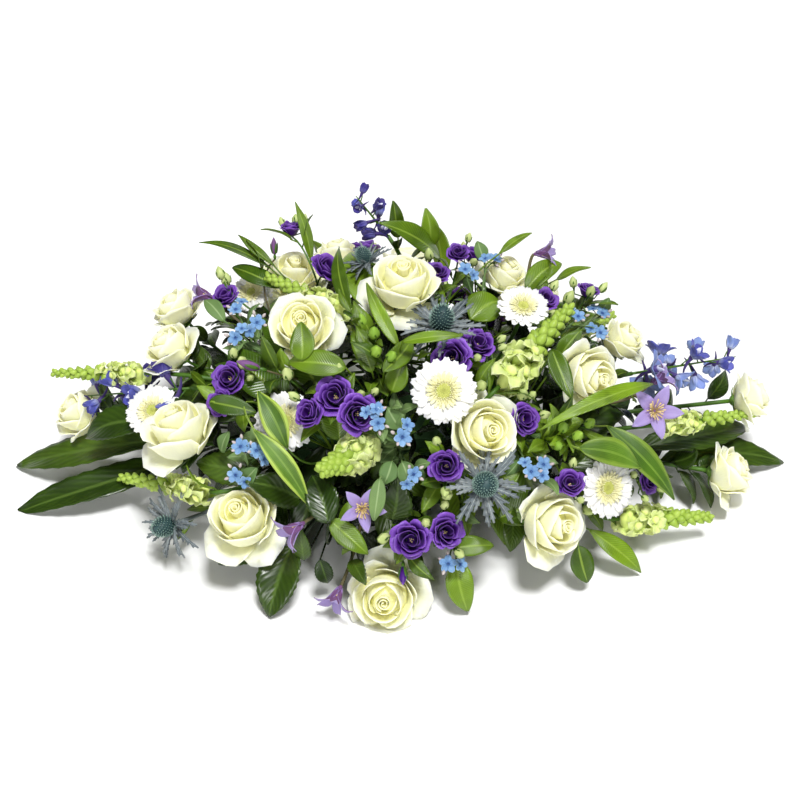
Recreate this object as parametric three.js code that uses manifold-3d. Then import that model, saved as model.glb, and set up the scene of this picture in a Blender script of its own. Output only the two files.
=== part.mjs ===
// A long oval flower arrangement for a table: white roses and mini gerberas, purple lisianthus, green-white
// snapdragons, blue delphinium and tweedia, lilac clematis, sea holly and mixed leaves. The stems stand in
// holes in a block of wet foam, and the foam stands in a low plastic tray.
// Units are millimetres, +Z is up, and the origin is the centre of the tray's underside.
import * as THREE from 'three';
import { ConvexGeometry } from 'three/addons/geometries/ConvexGeometry.js';
import { mergeVertices } from 'three/addons/utils/BufferGeometryUtils.js';
import Module from 'manifold-3d';

const wasm = await Module();
wasm.setup();

const { cos, sin, tan, PI, abs, sqrt, min, max, floor } = Math;
const V = (x, y, z) => new THREE.Vector3(x, y, z);
const plus = (a, b, k = 1) => a.clone().addScaledVector(b, k);
const unit = (a, b) => b.clone().sub(a).normalize();

// Driving dimensions
const TRAY = { length: 276, width: 146, height: 38, wall: 2.6, floor: 3, corner: 30, taper: 7 };
const FOAM = { length: 246, width: 112, top: 90, corner: 8 };
const SEAT_GAP = 0.35; // between a stem and its hole, and between the foam and the tray
const CLEAR = 0.6; // how far a petal or a leaf that would cross a neighbour stops short of it
const STEM_SPACE = 0.9; // the least space between two stems
const FLOOR_SPACE = 0.8; // the lowest that a leaf or petal comes
const LEAF = { thick: 2, fold: 0.22 };
const MOUND = { halfLength: 390, halfWidth: 226, height: 262 }; // the surface that the bloom centres lie on

// Places are read off one view of the arrangement, 800 columns by 800 rows, from 40 degrees above the table.
const VIEW = { elevation: 40 * PI / 180, distance: 2000, focal: 1754, middle: 400, aimHeight: 100 };
const toEye = V(0, -cos(VIEW.elevation), sin(VIEW.elevation));
const viewUp = V(0, sin(VIEW.elevation), cos(VIEW.elevation));
const eye = plus(V(0, 0, VIEW.aimHeight), toEye, VIEW.distance);

function viewRay(column, row) {
  const ray = toEye.clone().multiplyScalar(-VIEW.focal);
  return plus(plus(ray, V(1, 0, 0), column - VIEW.middle), viewUp, VIEW.middle - row).normalize();
}

// A place is a column, a row and a lift towards the eye from the mound, or a column, a row, 'z' and a height
// over the table, or 'at' and three coordinates.
function spot(place) {
  if (place[0] === 'at') return V(place[1], place[2], place[3]);
  const [column, row, lift = 0, height = 0] = place;
  const ray = viewRay(column, row);
  if (lift === 'z') return plus(eye, ray, (height - eye.z) / ray.z);
  let best = null;
  let lowest = Infinity;
  for (let d = VIEW.distance - 450; d < VIEW.distance + 450; d += 2) {
    const p = plus(eye, ray, d);
    const level = (abs(p.x) / MOUND.halfLength) ** 1.3 + (p.y / MOUND.halfWidth) ** 2
      + (max(p.z, 0) / MOUND.height) ** 2;
    if (level < lowest) {
      lowest = level;
      best = p;
    }
    if (level <= 1) break;
  }
  return plus(best, ray, -lift);
}

// A direction is given as rightwards, upwards and towards the eye in that view, or 'to' and three
// coordinates.
function facing(face) {
  if (face[0] === 'to') return V(face[1], face[2], face[3]).normalize();
  const [right, up, near] = face;
  return plus(plus(V(right, 0, 0), viewUp, up), toEye, near).normalize();
}

// Where a stem ends inside the foam, below the middle of what it carries.
function rootOf(p) {
  const within = (value, most) => max(-most, min(most, value));
  const x = within(p.x * 0.32, FOAM.length / 2 - 18);
  return V(x, within(p.y * 0.24, FOAM.width / 2 - 16), 52 + 0.03 * p.z);
}

// Closed surfaces

function surface(points, triangles) {
  const kept = triangles.filter(([a, b, c]) => a !== b && b !== c && c !== a);
  const geometry = new THREE.BufferGeometry();
  const numbers = new Float32Array(points.flatMap((p) => p.toArray()));
  geometry.setAttribute('position', new THREE.BufferAttribute(numbers, 3));
  geometry.setIndex(kept.flat());
  return geometry;
}

// Rings of points joined into a closed body. A ring of one point is a tip, and any other end ring is capped.
// The counts of two neighbouring rings are equal, or one is a multiple of the other.
function loft(rings) {
  const start = [];
  rings.reduce((n, ring) => (start.push(n), n + ring.length), 0);
  const triangles = [];
  for (let i = 0; i + 1 < rings.length; i++) {
    const [low, high] = [rings[i].length, rings[i + 1].length];
    const sides = max(low, high);
    const below = (j) => start[i] + floor(j * low / sides + 1e-6) % low;
    const above = (j) => start[i + 1] + floor(j * high / sides + 1e-6) % high;
    for (let j = 0; j < sides; j++) {
      const [a, b, c, d] = [below(j), below(j + 1), above(j + 1), above(j)];
      if (low > high) triangles.push([a, b, d], [b, c, d]);
      else triangles.push([a, c, d], [a, b, c]);
    }
  }
  const last = rings.length - 1;
  const end = start[last];
  for (let j = 1; j + 1 < rings[0].length; j++) triangles.push([0, j + 1, j]);
  for (let j = 1; j + 1 < rings[last].length; j++) triangles.push([end, end + j, end + j + 1]);
  return surface(rings.flat(), triangles);
}

// A ring round +Z at [radius, height], or one point where the radius is 0.
function ring(radius, height, sides, turn = 0) {
  if (radius === 0) return [V(0, 0, height)];
  return Array.from({ length: sides }, (_, j) => {
    const a = turn + 2 * PI * j / sides;
    return V(radius * cos(a), radius * sin(a), height);
  });
}

// The rings of a stem through a row of points, from radius r0 to r1, square to the stem there. The side of
// its last ring is given, so that a flower can go on from it.
function stemRings(points, r0, r1, sides, lastSide = null, grow = 0) {
  const last = points.length - 1;
  let side = lastSide;
  const rings = [];
  for (let i = last; i >= 0; i--) {
    const along = unit(points[max(i - 1, 0)], points[min(i + 1, last)]);
    const guide = side || (abs(along.z) < 0.8 ? V(0, 0, 1) : V(1, 0, 0));
    side = plus(guide, along, -guide.dot(along)).normalize();
    const other = along.clone().cross(side);
    const centre = plus(points[i], along, i === 0 ? -grow : i === last ? grow : 0);
    const r = r0 + (r1 - r0) * i / last + grow * 1.3;
    rings.unshift(Array.from({ length: sides }, (_, j) => {
      const a = 2 * PI * j / sides;
      return plus(plus(centre, side, r * cos(a)), other, r * sin(a));
    }));
  }
  return rings;
}

// A leaf with its stalk, in one surface of four-cornered rings: the stalk runs through the given points to
// the base of the blade, and the blade arches to its tip. Its rim is sharp and its rib thick.
function leafSolid({ stalk, radius, base, tip, width, normal, arch, marks }, grow = 0) {
  const along = tip.clone().sub(base);
  const length = along.length();
  const up = plus(normal, along, -normal.dot(along) / along.lengthSq()).normalize();
  const side = up.clone().cross(along).normalize();
  const corners = (p, half, fold, thick) => [
    plus(plus(p, side, half + grow), up, fold), plus(p, up, thick / 2 + grow),
    plus(plus(p, side, -half - grow), up, fold), plus(p, up, -thick / 2 - grow)];
  const rings = stemRings(stalk, radius, radius * 0.85, 4, side, grow);
  for (const [s, w] of marks) {
    const rib = plus(plus(base, along, s), up, length * arch * 4 * s * (1 - s));
    rings.push(corners(rib, width / 2 * w, width / 2 * w * LEAF.fold, LEAF.thick));
  }
  rings.push(grow ? corners(plus(tip, along, grow / length), 0, 0, 0) : [tip]);
  return loft(rings);
}

// Blooms: each gives its rings from back to front about the origin, opening along +Z, how many sides its
// stem has, how far behind the origin the stem ends, and a ball that keeps other flowers away. Some have more
// parts, each a surface. Guards are balls that stems keep clear of, each [height, how far out, radius], and
// those with a place further out stand six in a ring.

// A rim of overlapping petals, given by their count, a turn, and the radius and height of the rim across each
// petal: at the tucked edge, the middle and the free edge.
function petalRim(R, sides, count, turn, across) {
  return Array.from({ length: sides }, (_, j) => {
    const a = 2 * PI * j / sides;
    const part = ((j + turn) % (sides / count)) / (sides / count - 1) * (across.length - 1);
    const k = min(floor(part), across.length - 2);
    const mix = (n) => across[k][n] + (across[k + 1][n] - across[k][n]) * (part - k);
    return V(mix(0) * R * cos(a), mix(0) * R * sin(a), mix(1) * R);
  });
}

const disc = (R, height) => [[height * R, 0, 0.42 * R], [height * R, 0.62 * R, 0.4 * R]];

const rim = (R, points) => points.map(([r, a, z]) => V(r * R * cos(a), r * R * sin(a), z * R));

function rose(R) {
  const rings = [
    ring(0.56 * R, -0.54 * R, 12),
    petalRim(R, 12, 4, 0, [[0.84, 0.02], [1, 0.16], [0.95, -0.04]]), ring(0.66 * R, 0, 12),
    petalRim(R, 12, 4, 1, [[0.58, 0.38], [0.7, 0.48], [0.68, 0.34]]), ring(0.42 * R, 0.3 * R, 12),
    petalRim(R, 12, 3, 2, [[0.3, 0.56], [0.42, 0.66], [0.4, 0.54]]), ring(0, 0.42 * R, 12),
  ];
  return { rings, sides: 4, joint: 0.64 * R, ball: [0, 0.86 * R], guards: [[0.1 * R, 0, 0.95 * R]] };
}

function lisianthus(R) {
  const rings = [
    petalRim(R, 10, 5, 0, [[0.82, 0.34], [1, 0.2]]), ring(0.48 * R, 0, 10),
    petalRim(R, 10, 5, 1, [[0.42, 0.42], [0.56, 0.3]]), ring(0, 0.02 * R, 10),
  ];
  return { rings, sides: 5, joint: 0.7 * R, ball: [0, 0.84 * R], guards: [[0.08 * R, 0, 0.96 * R]] };
}

function gerbera(R) {
  const rays = 12;
  const tips = Array.from({ length: rays }, (_, i) => {
    const a = 2 * PI * i / rays;
    const half = PI / rays;
    return [[0.98, a - 0.46 * half, 0.14], [1, a + 0.46 * half, 0.1], [0.6, a + half, 0.05]];
  });
  const rings = [
    ring(0.24 * R, -0.16 * R, rays), rim(R, tips.flat()), ring(0.32 * R, 0.1 * R, rays), ring(0, 0.15 * R, 1),
  ];
  return { rings, sides: 4, joint: 0.34 * R, ball: [0, 0.72 * R], guards: disc(R, 0) };
}

// Pointed tepals that stand at "rise" radians over the flat: near 0 for a star, over 1 for a bell.
function clematis(R, rise) {
  const tepals = 5;
  const reach = rise > 0.8 ? 0.42 : 1;
  const points = Array.from({ length: tepals }, (_, i) => {
    const a = 2 * PI * i / tepals;
    const part = PI / tepals;
    return [[0.18, -part], [0.6, -0.42 * part], [1, 0], [0.6, 0.42 * part]].map(([r, turn]) => (
      [r * reach, a + turn, r * tan(rise) * reach]));
  });
  const guards = reach === 1 ? disc(R, 0.15) : [[0.3 * R, 0, 0.4 * R], [0.7 * R, 0, 0.44 * R]];
  return { rings: [rim(R, points.flat()), ring(0, 0.16 * R, 1)], sides: 5, joint: 0.1 * R,
    ball: [0.1 * R, 0.4 * R], guards };
}

// Sea holly: an egg-shaped head over a ruff of stiff pointed bracts.
function seaHolly(R) {
  const bracts = 12;
  const points = Array.from({ length: bracts }, (_, i) => {
    const a = 2 * PI * i / bracts;
    const [reach, slope] = i % 2 ? [0.76, 0.5] : [1, 0.18];
    return [[reach, a, reach * slope], [0.28, a + PI / bracts, 0.03]];
  });
  const rings = [
    rim(R, points.flat()), ring(0.25 * R, 0.16 * R, 6), ring(0.24 * R, 0.5 * R, 6), ring(0, 0.7 * R, 1),
  ];
  return { rings, sides: 4, joint: 0.14 * R, ball: [0.15 * R, 0.5 * R], guards: disc(R, 0.2) };
}

// A small five-petalled star.
function star(R) {
  const points = Array.from({ length: 10 }, (_, i) => {
    const r = i % 2 ? 0.45 : 1;
    return [r, PI * i / 5, 0.3 * r];
  });
  return { rings: [rim(R, points), ring(0, 0.14 * R, 1)], sides: 5, joint: 0.24 * R, ball: [0, 0.6 * R],
    guards: [[0.12 * R, 0, R]] };
}

function bud(R, width) {
  const rings = [ring(width * R, -0.4 * R, 4), ring(0.85 * width * R, 0.4 * R, 4), ring(0, R, 1)];
  return { rings, sides: 4, joint: 0.9 * R, ball: [0, 0.7 * R],
    guards: [[-0.1 * R, 0, max(width, 0.4) * R], [0.5 * R, 0, max(width, 0.4) * R]] };
}

// A spike from the origin up +Z: open flowers stand out round its lower part, and buds crowd its tip.
function snapdragon(R, length) {
  const sides = 6;
  const rows = [[0, 0.5], [0.1, 1.2], [0.2, 0.5], [0.3, 1.05], [0.42, 0.45], [0.55, 0.4], [0.68, 0.32],
    [0.8, 0.24], [0.92, 0.16]];
  const rings = rows.map(([s, out], i) => ring(1, 0, sides).map((p, j) => {
    const bump = (i + j) % 2;
    const open = s < 0.35 ? 0.42 : 0.68;
    const reach = R * out * (bump ? 1 : open);
    return V(p.x * reach, p.y * reach, length * (s + bump * 0.035));
  }));
  rings.push(ring(0, length * 1.03, 1));
  const balls = [[0.15 * length, 0.8 * R], [0.45 * length, 0.5 * R], [0.75 * length, 0.4 * R]];
  const guards = [0, 0.13, 0.26, 0.4, 0.55, 0.72, 0.92].map((s) => (
    [s * length, 0, R * (s < 0.1 ? 0.9 : 1.35 - 1.15 * s)]));
  return { rings, sides: 3, joint: 0.06 * length, balls, guards };
}

// A loose spike of trumpet flowers. The spur of each runs back to the stem.
function delphinium(R, length) {
  const florets = max(7, min(9, Math.round(length / 10)));
  const parts = [];
  for (let i = 0; i < florets; i++) {
    const a = i * 2.4;
    const s = i / (florets - 1);
    const big = 2 * R * (1 - 0.4 * s);
    const trumpet = loft([
      ring(0, -0.5 * big, 1), ring(0.09 * big, -0.08 * big, 4),
      ring(0.24 * big, 0.12 * big, 4), ring(0, 0, 1),
    ]);
    const axis = V(cos(a), sin(a), 0.4).normalize();
    const centre = plus(V(0, 0, length * (0.06 + 0.84 * s)), axis, 0.46 * big);
    parts.push(trumpet.applyMatrix4(standing(centre, axis, a)));
  }
  const balls = [[0.2 * length, 0.6 * R], [0.5 * length, 0.5 * R], [0.8 * length, 0.4 * R]];
  const guards = [0.05, 0.2, 0.35, 0.5, 0.65, 0.8, 0.95].map((s) => [s * length, 0, 1.4 * R * (1 - 0.4 * s)]);
  return { rings: [ring(1.6, 1, 4), ring(0, length * 0.98, 1)], parts, sides: 4, joint: 0, balls, guards };
}

// A matrix that takes +Z to an axis and the origin to a point, after a spin about +Z.
function standing(origin, axis, spin = 0) {
  const turn = new THREE.Quaternion().setFromUnitVectors(V(0, 0, 1), axis.clone().normalize());
  turn.multiply(new THREE.Quaternion().setFromAxisAngle(V(0, 0, 1), spin));
  return new THREE.Matrix4().compose(origin, turn, V(1, 1, 1));
}

const BLOOMS = {
  rose, lisianthus, gerbera, seaHolly, star, snapdragon, delphinium,
  clematisStar: (R) => clematis(R, 0.3),
  clematisBell: (R) => clematis(R, 1.15),
  bud: (R) => bud(R, 0.6),
  slimBud: (R) => bud(R, 0.34),
};

// Leaf outlines: rows of [distance along, share of the width].
const OUTLINES = {
  leaf: [[0.3, 0.92], [0.66, 0.86]],
  long: [[0.22, 0.82], [0.5, 1], [0.78, 0.68]],
  broad: [[0.18, 0.8], [0.45, 1], [0.76, 0.74]],
};

// Colours
const CREAM = 0xf2eecb;
const WHITE = 0xf8f7f0;
const PURPLE = 0x4b2a92;
const LIME = 0xb9d16c;
const BLUE = 0x5468bd;
const SKY = 0x8fb6e0;
const LILAC = 0xae93cb;
const STEEL = 0x64757f;
const GREEN = 0x4c7a2c;
const DARK = 0x234a1f;

// Low leaves that hang over one side of the tray from beside the foam, between two shares of its half length
// (front and back) or width (ends). "out" is the side that they face.
function skirt(count, [first, last], out, width = 44) {
  return Array.from({ length: count }, (_, i) => {
    const share = first + (last - first) * i / max(count - 1, 1);
    const [x, y] = [FOAM.length / 2, FOAM.width / 2];
    const start = out[0] ? [out[0] * (x + 14), share * y] : [share * x, out[1] * (y + 14)];
    const long = 78 + 16 * (i % 2);
    const fan = out[0] ? [out[0] * long, share * 50] : [share * 55, out[1] * long];
    const tip = [start[0] + fan[0], start[1] + fan[1], 16 + 14 * (i % 2)];
    const base = [...start, 84 + 10 * (i % 2)];
    return ['leaf', ['at', ...base], ['at', ...tip], width, ['to', out[0] * 0.5, out[1] * 0.5, 1], 0.12];
  });
}

// What stands in the foam. Each plant has a name, a colour, its flowers and its leaves.
// A flower is its form, its place, its facing (or the tip of its spike) and its size.
// A leaf is its outline, the places of its base and tip, its width, its facing and its arch.
// Last come the inner leaves, which fill the space under the flowers.
const PLANTS = [
  ['rose_01', CREAM, [
    ['rose', [178, 311, -6], [-0.5, 0.6, 0.45], 64],
    ['rose', [172, 350, 12], [-0.6, 0.45, 0.5], 68]], []],
  ['rose_02', CREAM, [['rose', [80, 414, 6], [-0.7, 0.1, 0.6], 66]], []],
  ['rose_03', CREAM, [['rose', [177, 430, 22], [-0.3, 0.25, 0.9], 86]], []],
  ['rose_04', CREAM, [['rose', [243, 521, 20], [-0.35, -0.12, 0.92], 86]], []],
  ['rose_05', CREAM, [
    ['rose', [290, 278, -4], [0.05, 0.55, 0.8], 76],
    ['rose', [304, 328, 16], [-0.12, 0.12, 0.97], 78]], []],
  ['rose_06', CREAM, [
    ['rose', [403, 286, 18], [0, 0.42, 0.88], 84],
    ['rose', [334, 258, -28], [-0.1, 0.85, 0.3], 60]], []],
  ['rose_07', CREAM, [['rose', [481, 429, 22], [0.2, 0, 0.97], 82]], []],
  ['rose_08', CREAM, [['rose', [386, 595, 16], [0, -0.1, 0.97], 86]], []],
  ['rose_09', CREAM, [
    ['rose', [587, 376, 16], [0.42, -0.08, 0.88], 74],
    ['rose', [622, 342, -10], [0.35, 0.65, 0.4], 58]], []],
  ['rose_10', CREAM, [['rose', [504, 276, -6], [0.3, 0.6, 0.6], 62]], []],
  ['rose_11', CREAM, [['rose', [748, 399, 2], [0.88, 0.1, 0.25], 64]], []],
  ['rose_12', CREAM, [['rose', [727, 474, 'z', 44], [0.85, -0.15, 0.4], 70]], []],
  ['rose_13', CREAM, [['rose', [549, 524, 20], [0.3, -0.08, 0.94], 82]], []],
  ['rose_14', CREAM, [
    ['rose', ['at', -150, 172, 112], ['to', -0.3, 0.85, 0.5], 78],
    ['rose', ['at', 8, 196, 138], ['to', 0, 0.8, 0.55], 82],
    ['rose', ['at', 160, 165, 120], ['to', 0.35, 0.8, 0.5], 78]], []],

  ['gerbera_01', WHITE, [['gerbera', [158, 410, 6], [-0.2, 0.4, 0.88], 64]], []],
  ['gerbera_02', WHITE, [['gerbera', [287, 421, 14], [-0.1, 0.1, 0.98], 68]], []],
  ['gerbera_03', WHITE, [['gerbera', [446, 391, 20], [0, 0.05, 1], 72]], []],
  ['gerbera_04', WHITE, [['gerbera', [606, 488, 20], [0.5, -0.05, 0.85], 70]], []],
  ['gerbera_05', WHITE, [['gerbera', [523, 307, 8], [0.1, 0.6, 0.78], 60]], []],
  ['gerbera_06', WHITE, [
    ['gerbera', [252, 292, 4], [-0.3, 0.5, 0.8], 56],
    ['gerbera', ['at', -78, 200, 110], ['to', -0.2, 0.85, 0.5], 68]], []],

  ['lisianthus_01', PURPLE, [
    ['lisianthus', [291, 228, 0], [-0.1, 0.95, 0.3], 28],
    ['lisianthus', [327, 268, 20], [0.5, 0.6, 0.6], 38],
    ['bud', [221, 275, 4], [-0.3, 0.9, 0.2], 17]], []],
  ['lisianthus_02', PURPLE, [
    ['lisianthus', [233, 296, 6], [-0.3, 0.6, 0.7], 32],
    ['lisianthus', [229, 379, 22], [-0.2, 0.2, 0.95], 36],
    ['lisianthus', [221, 402, 20], [-0.4, 0.1, 0.9], 30],
    ['bud', [243, 364, 22], [-0.2, 0.6, 0.7], 18]], []],
  ['lisianthus_03', PURPLE, [
    ['lisianthus', [307, 414, 26], [-0.5, 0.2, 0.8], 34],
    ['lisianthus', [336, 397, 26], [-0.2, 0.3, 0.9], 42],
    ['lisianthus', [357, 413, 32], [0.2, 0, 0.95], 42],
    ['bud', [288, 375, 30], [-0.2, 0.6, 0.7], 18]], []],
  ['lisianthus_04', PURPLE, [
    ['lisianthus', [458, 253, 4], [0, 0.6, 0.8], 27],
    ['lisianthus', [437, 273, 8], [0.1, 0.5, 0.8], 28]], []],
  ['lisianthus_05', PURPLE, [
    ['lisianthus', [452, 360, 24], [-0.2, 0.1, 0.95], 42],
    ['lisianthus', [478, 344, 18], [0.2, 0.4, 0.85], 36],
    ['bud', [481, 386, 26], [0.2, 0.3, 0.9], 17]], []],
  ['lisianthus_06', PURPLE, [
    ['lisianthus', [545, 300, 8], [0.3, 0.5, 0.7], 30],
    ['lisianthus', [588, 290, 0], [0.3, 0.85, 0.3], 27],
    ['bud', [568, 300, 8], [0.4, 0.8, 0.3], 20]], []],
  ['lisianthus_07', PURPLE, [
    ['lisianthus', [521, 420, 22], [0.4, 0.1, 0.9], 34],
    ['lisianthus', [446, 466, 24], [-0.1, 0, 1], 36],
    ['bud', [522, 395, 20], [0.2, 0.4, 0.8], 18],
    ['bud', [447, 494, 22], [0, -0.2, 0.95], 18]], []],
  ['lisianthus_08', PURPLE, [
    ['lisianthus', [411, 540, 26], [-0.1, 0, 0.98], 42],
    ['lisianthus', [446, 532, 24], [0.3, 0.1, 0.9], 38],
    ['slimBud', [403, 573, 40], [0, -0.7, 0.6], 30]], []],
  ['lisianthus_09', PURPLE, [
    ['lisianthus', [570, 484, 20], [0.1, 0.4, 0.9], 32],
    ['lisianthus', [648, 480, 10], [0.6, 0.1, 0.8], 28],
    ['bud', [590, 508, 18], [0.2, -0.2, 0.9], 18]], []],
  ['lisianthus_10', PURPLE, [
    ['lisianthus', ['at', -110, 210, 70], ['to', -0.3, 0.9, 0.3], 40],
    ['lisianthus', ['at', -44, 205, 165], ['to', -0.1, 0.7, 0.7], 38],
    ['lisianthus', ['at', 78, 205, 92], ['to', 0.2, 0.9, 0.4], 42],
    ['lisianthus', ['at', 112, 192, 68], ['to', 0.3, 0.9, 0.3], 38],
    ['lisianthus', ['at', 88, 165, 186], ['to', 0.2, 0.6, 0.8], 36]], []],

  ['snapdragon_01', LIME, [['snapdragon', [338, 311, 14], [263, 277, 26], 30]], []],
  ['snapdragon_02', LIME, [['snapdragon', [140, 373, 4], [51, 373, 0], 27]], []],
  ['snapdragon_03', LIME, [['snapdragon', [205, 491, 16], [120, 477, 'z', 42], 31]], []],
  ['snapdragon_04', LIME, [['snapdragon', [503, 382, 16], [570, 308, 28], 42]], []],
  ['snapdragon_05', LIME, [['snapdragon', [664, 424, 12], [753, 414, 8], 28]], []],
  ['snapdragon_06', LIME, [['snapdragon', [624, 519, 'z', 52], [711, 517, 'z', 36], 34]], []],
  ['snapdragon_07', LIME, [['snapdragon', [368, 448, 2], [322, 470, 46], 42]], []],
  ['snapdragon_08', LIME, [
    ['snapdragon', ['at', -60, 165, 60], ['at', -90, 262, 34], 36],
    ['snapdragon', ['at', 196, 128, 96], ['at', 262, 190, 76], 32]], []],

  ['delphinium_01', BLUE, [['delphinium', [388, 236, -6], [356, 196, 6], 30]], []],
  ['delphinium_02', BLUE, [['delphinium', [188, 392, 4], [76, 400, 8], 36]], []],
  ['delphinium_03', BLUE, [['delphinium', [632, 375, 6], [736, 358, 6], 38]], []],

  ['tweedia_01', SKY, [
    ['star', [236, 310, 24], [-0.2, 0.5, 0.8], 18],
    ['star', [236, 338, 28], [-0.3, 0.1, 0.9], 18],
    ['star', [257, 323, 30], [0.1, 0.3, 0.9], 18],
    ['star', [241, 447, 34], [-0.2, 0.3, 0.9], 19],
    ['star', [256, 451, 36], [0.3, 0.3, 0.9], 18],
    ['star', [236, 475, 34], [-0.3, -0.1, 0.9], 18]], [
    ['leaf', [222, 320, 6], [206, 300, 10], 18, [-0.2, 0.5, 0.8], 0.1],
    ['leaf', [222, 452, 12], [228, 432, 20], 16, [-0.2, 0.5, 0.8], 0.1],
    ['leaf', [244, 480, 22], [256, 468, 28], 18, [0.2, 0.3, 0.9], 0.1]]],
  ['tweedia_02', SKY, [
    ['star', [376, 410, 40], [0.1, 0.5, 0.9], 17],
    ['star', [378, 423, 40], [0, -0.1, 1], 17],
    ['star', [402, 437, 34], [0.3, 0, 0.9], 20],
    ['star', [413, 474, 28], [0.4, -0.2, 0.9], 18]], [
    ['leaf', [400, 428, 20], [388, 408, 28], 20, [-0.1, 0.4, 0.9], 0.1],
    ['leaf', [392, 462, 20], [384, 484, 26], 20, [-0.2, 0, 1], 0.1],
    ['leaf', [402, 462, 20], [412, 488, 24], 20, [0.2, 0, 1], 0.1],
    ['leaf', [380, 478, 24], [374, 520, 30], 17, [0, 0, 1], 0.15]]],
  ['tweedia_03', SKY, [
    ['star', [465, 270, 16], [0.1, 0.5, 0.8], 17],
    ['star', [496, 262, 8], [0.3, 0.7, 0.6], 18],
    ['star', [578, 317, 16], [0.1, 0.5, 0.8], 17],
    ['star', [602, 314, 14], [0.3, 0.6, 0.7], 18],
    ['star', [600, 333, 18], [0.3, 0.2, 0.9], 17],
    ['star', [531, 472, 24], [0.1, 0.3, 0.9], 18],
    ['star', [543, 465, 22], [0.3, 0.4, 0.8], 18],
    ['star', [448, 564, 26], [0.1, 0.1, 1], 20]], [
    ['leaf', [484, 262, 0], [478, 240, 6], 16, [0, 0.5, 0.8], 0.1],
    ['leaf', [600, 312, 4], [609, 298, 8], 15, [0.3, 0.5, 0.8], 0.1],
    ['leaf', [545, 482, 16], [556, 492, 20], 14, [0.2, 0.3, 0.9], 0.1]]],

  ['clematis_01', LILAC, [
    ['clematisBell', [212, 297, 6], [-0.95, 0.25, 0.2], 60],
    ['slimBud', [252, 366, 34], [-0.95, 0.3, 0.2], 34],
    ['slimBud', [275, 250, 2], [-0.05, 0.95, 0.2], 26]], []],
  ['clematis_02', LILAC, [
    ['clematisBell', [302, 524, 34], [-0.8, -0.55, 0.3], 66],
    ['clematisBell', [340, 588, 30], [-0.4, -0.85, 0.35], 62],
    ['clematisStar', [362, 508, 28], [0.1, -0.1, 0.95], 50]], []],
  ['clematis_03', LILAC, [
    ['clematisStar', [654, 411, 20], [0.1, 0, 1], 62],
    ['clematisBell', [652, 381, 14], [0.9, 0.45, 0.3], 58],
    ['clematisBell', [536, 254, 2], [0.95, 0.1, 0.3], 56]], []],

  ['sea_holly_01', STEEL, [['seaHolly', [172, 524, 'z', 60], [-0.6, -0.15, 0.75], 74]], []],
  ['sea_holly_02', STEEL, [
    ['seaHolly', [484, 484, 30], [0.05, 0.05, 1], 84],
    ['seaHolly', [441, 327, 14], [0.05, 0.6, 0.75], 84],
    ['seaHolly', [367, 262, 0], [-0.4, 0.7, 0.5], 56]], []],

  ['alstroemeria_01', GREEN, [
    ['bud', [362, 322, 24], [-0.1, 0.7, 0.7], 18],
    ['bud', [374, 334, 28], [0, 0.6, 0.8], 18],
    ['bud', [376, 352, 28], [0.1, 0.4, 0.9], 18],
    ['bud', [391, 357, 26], [0.3, 0.4, 0.8], 17]], [
    ['long', [352, 318, 20], [337, 244, 24], 17, [-0.3, 0.2, 0.9], 0.05],
    ['leaf', [302, 360, 38], [302, 323, 46], 26, [-0.1, 0.2, 1], 0.05],
    ['leaf', [346, 368, 32], [288, 362, 40], 28, [0, 0.2, 1], 0.08],
    ['leaf', [398, 345, 24], [366, 284, 34], 15, [-0.3, 0.2, 0.9], 0.06],
    ['leaf', [402, 342, 30], [462, 335, 34], 13, [0, 0.4, 0.9], 0.08]], [
    ['leaf', [372, 372, 6], [352, 330, 20], 22, [-0.2, 0.3, 0.9], 0.08],
    ['leaf', [384, 372, 6], [412, 338, 16], 22, [0.2, 0.3, 0.9], 0.08],
    ['leaf', [392, 392, -6], [404, 360, 8], 24, [0.1, 0.3, 0.9], 0.08]]],

  ['foliage_left', DARK, [], [
    ['broad', [165, 440, 'z', 62], [14, 463, 'z', 6], 50, ['to', -0.15, -0.15, 1], 0.07],
    ['broad', [170, 462, 'z', 40], [16, 509, 'z', 5], 44, ['to', -0.1, -0.3, 1], 0.06],
    ['leaf', [152, 424, 0], [86, 436, 10], 46, [-0.2, 0.5, 0.8], 0.1],
    ...skirt(2, [-0.7, 0.7], [-1, 0])], [
    ['leaf', [222, 440, -34], [140, 400, -22], 46, [-0.2, 0.4, 0.9], 0.08],
    ['leaf', [236, 420, -34], [176, 366, -26], 46, [-0.2, 0.4, 0.9], 0.08],
    ['leaf', [262, 470, -24], [196, 462, -8], 40, [-0.2, 0.2, 0.95], 0.08]]],
  ['foliage_right', DARK, [], [
    ['broad', [640, 448, 'z', 66], [750, 424, 'z', 40], 44, ['to', 0.1, -0.15, 1], 0.06],
    ['broad', [660, 462, 'z', 34], [786, 459, 'z', 8], 42, ['to', 0.1, -0.3, 1], 0.06],
    ...skirt(2, [-0.7, 0.7], [1, 0])], [
    ['leaf', [560, 440, -34], [632, 396, -24], 46, [0.2, 0.4, 0.9], 0.08],
    ['leaf', [548, 420, -36], [600, 352, -28], 46, [0.2, 0.4, 0.9], 0.08],
    ['leaf', [566, 470, -26], [640, 440, -14], 42, [0.2, 0.2, 0.95], 0.08]]],
  ['foliage_top', GREEN, [], [
    ['long', [272, 270, -12], [198, 239, -2], 13, [0, 0.7, 0.7], 0.06],
    ['long', [276, 268, -14], [238, 233, -4], 12, [0.1, 0.6, 0.7], 0.05],
    ['leaf', [280, 288, -20], [232, 266, -4], 24, [-0.1, 0.6, 0.8], 0.1],
    ['long', [313, 264, -12], [296, 203, -2], 13, [0, 0.3, 0.9], 0.05],
    ['leaf', [398, 236, -16], [394, 200, -6], 20, [0.2, 0.3, 0.9], 0.08],
    ['leaf', [440, 258, -4], [382, 224, 4], 32, [0, 0.5, 0.8], 0.1],
    ['leaf', [430, 248, -12], [426, 209, -6], 22, [0, 0.3, 0.9], 0.08],
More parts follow.
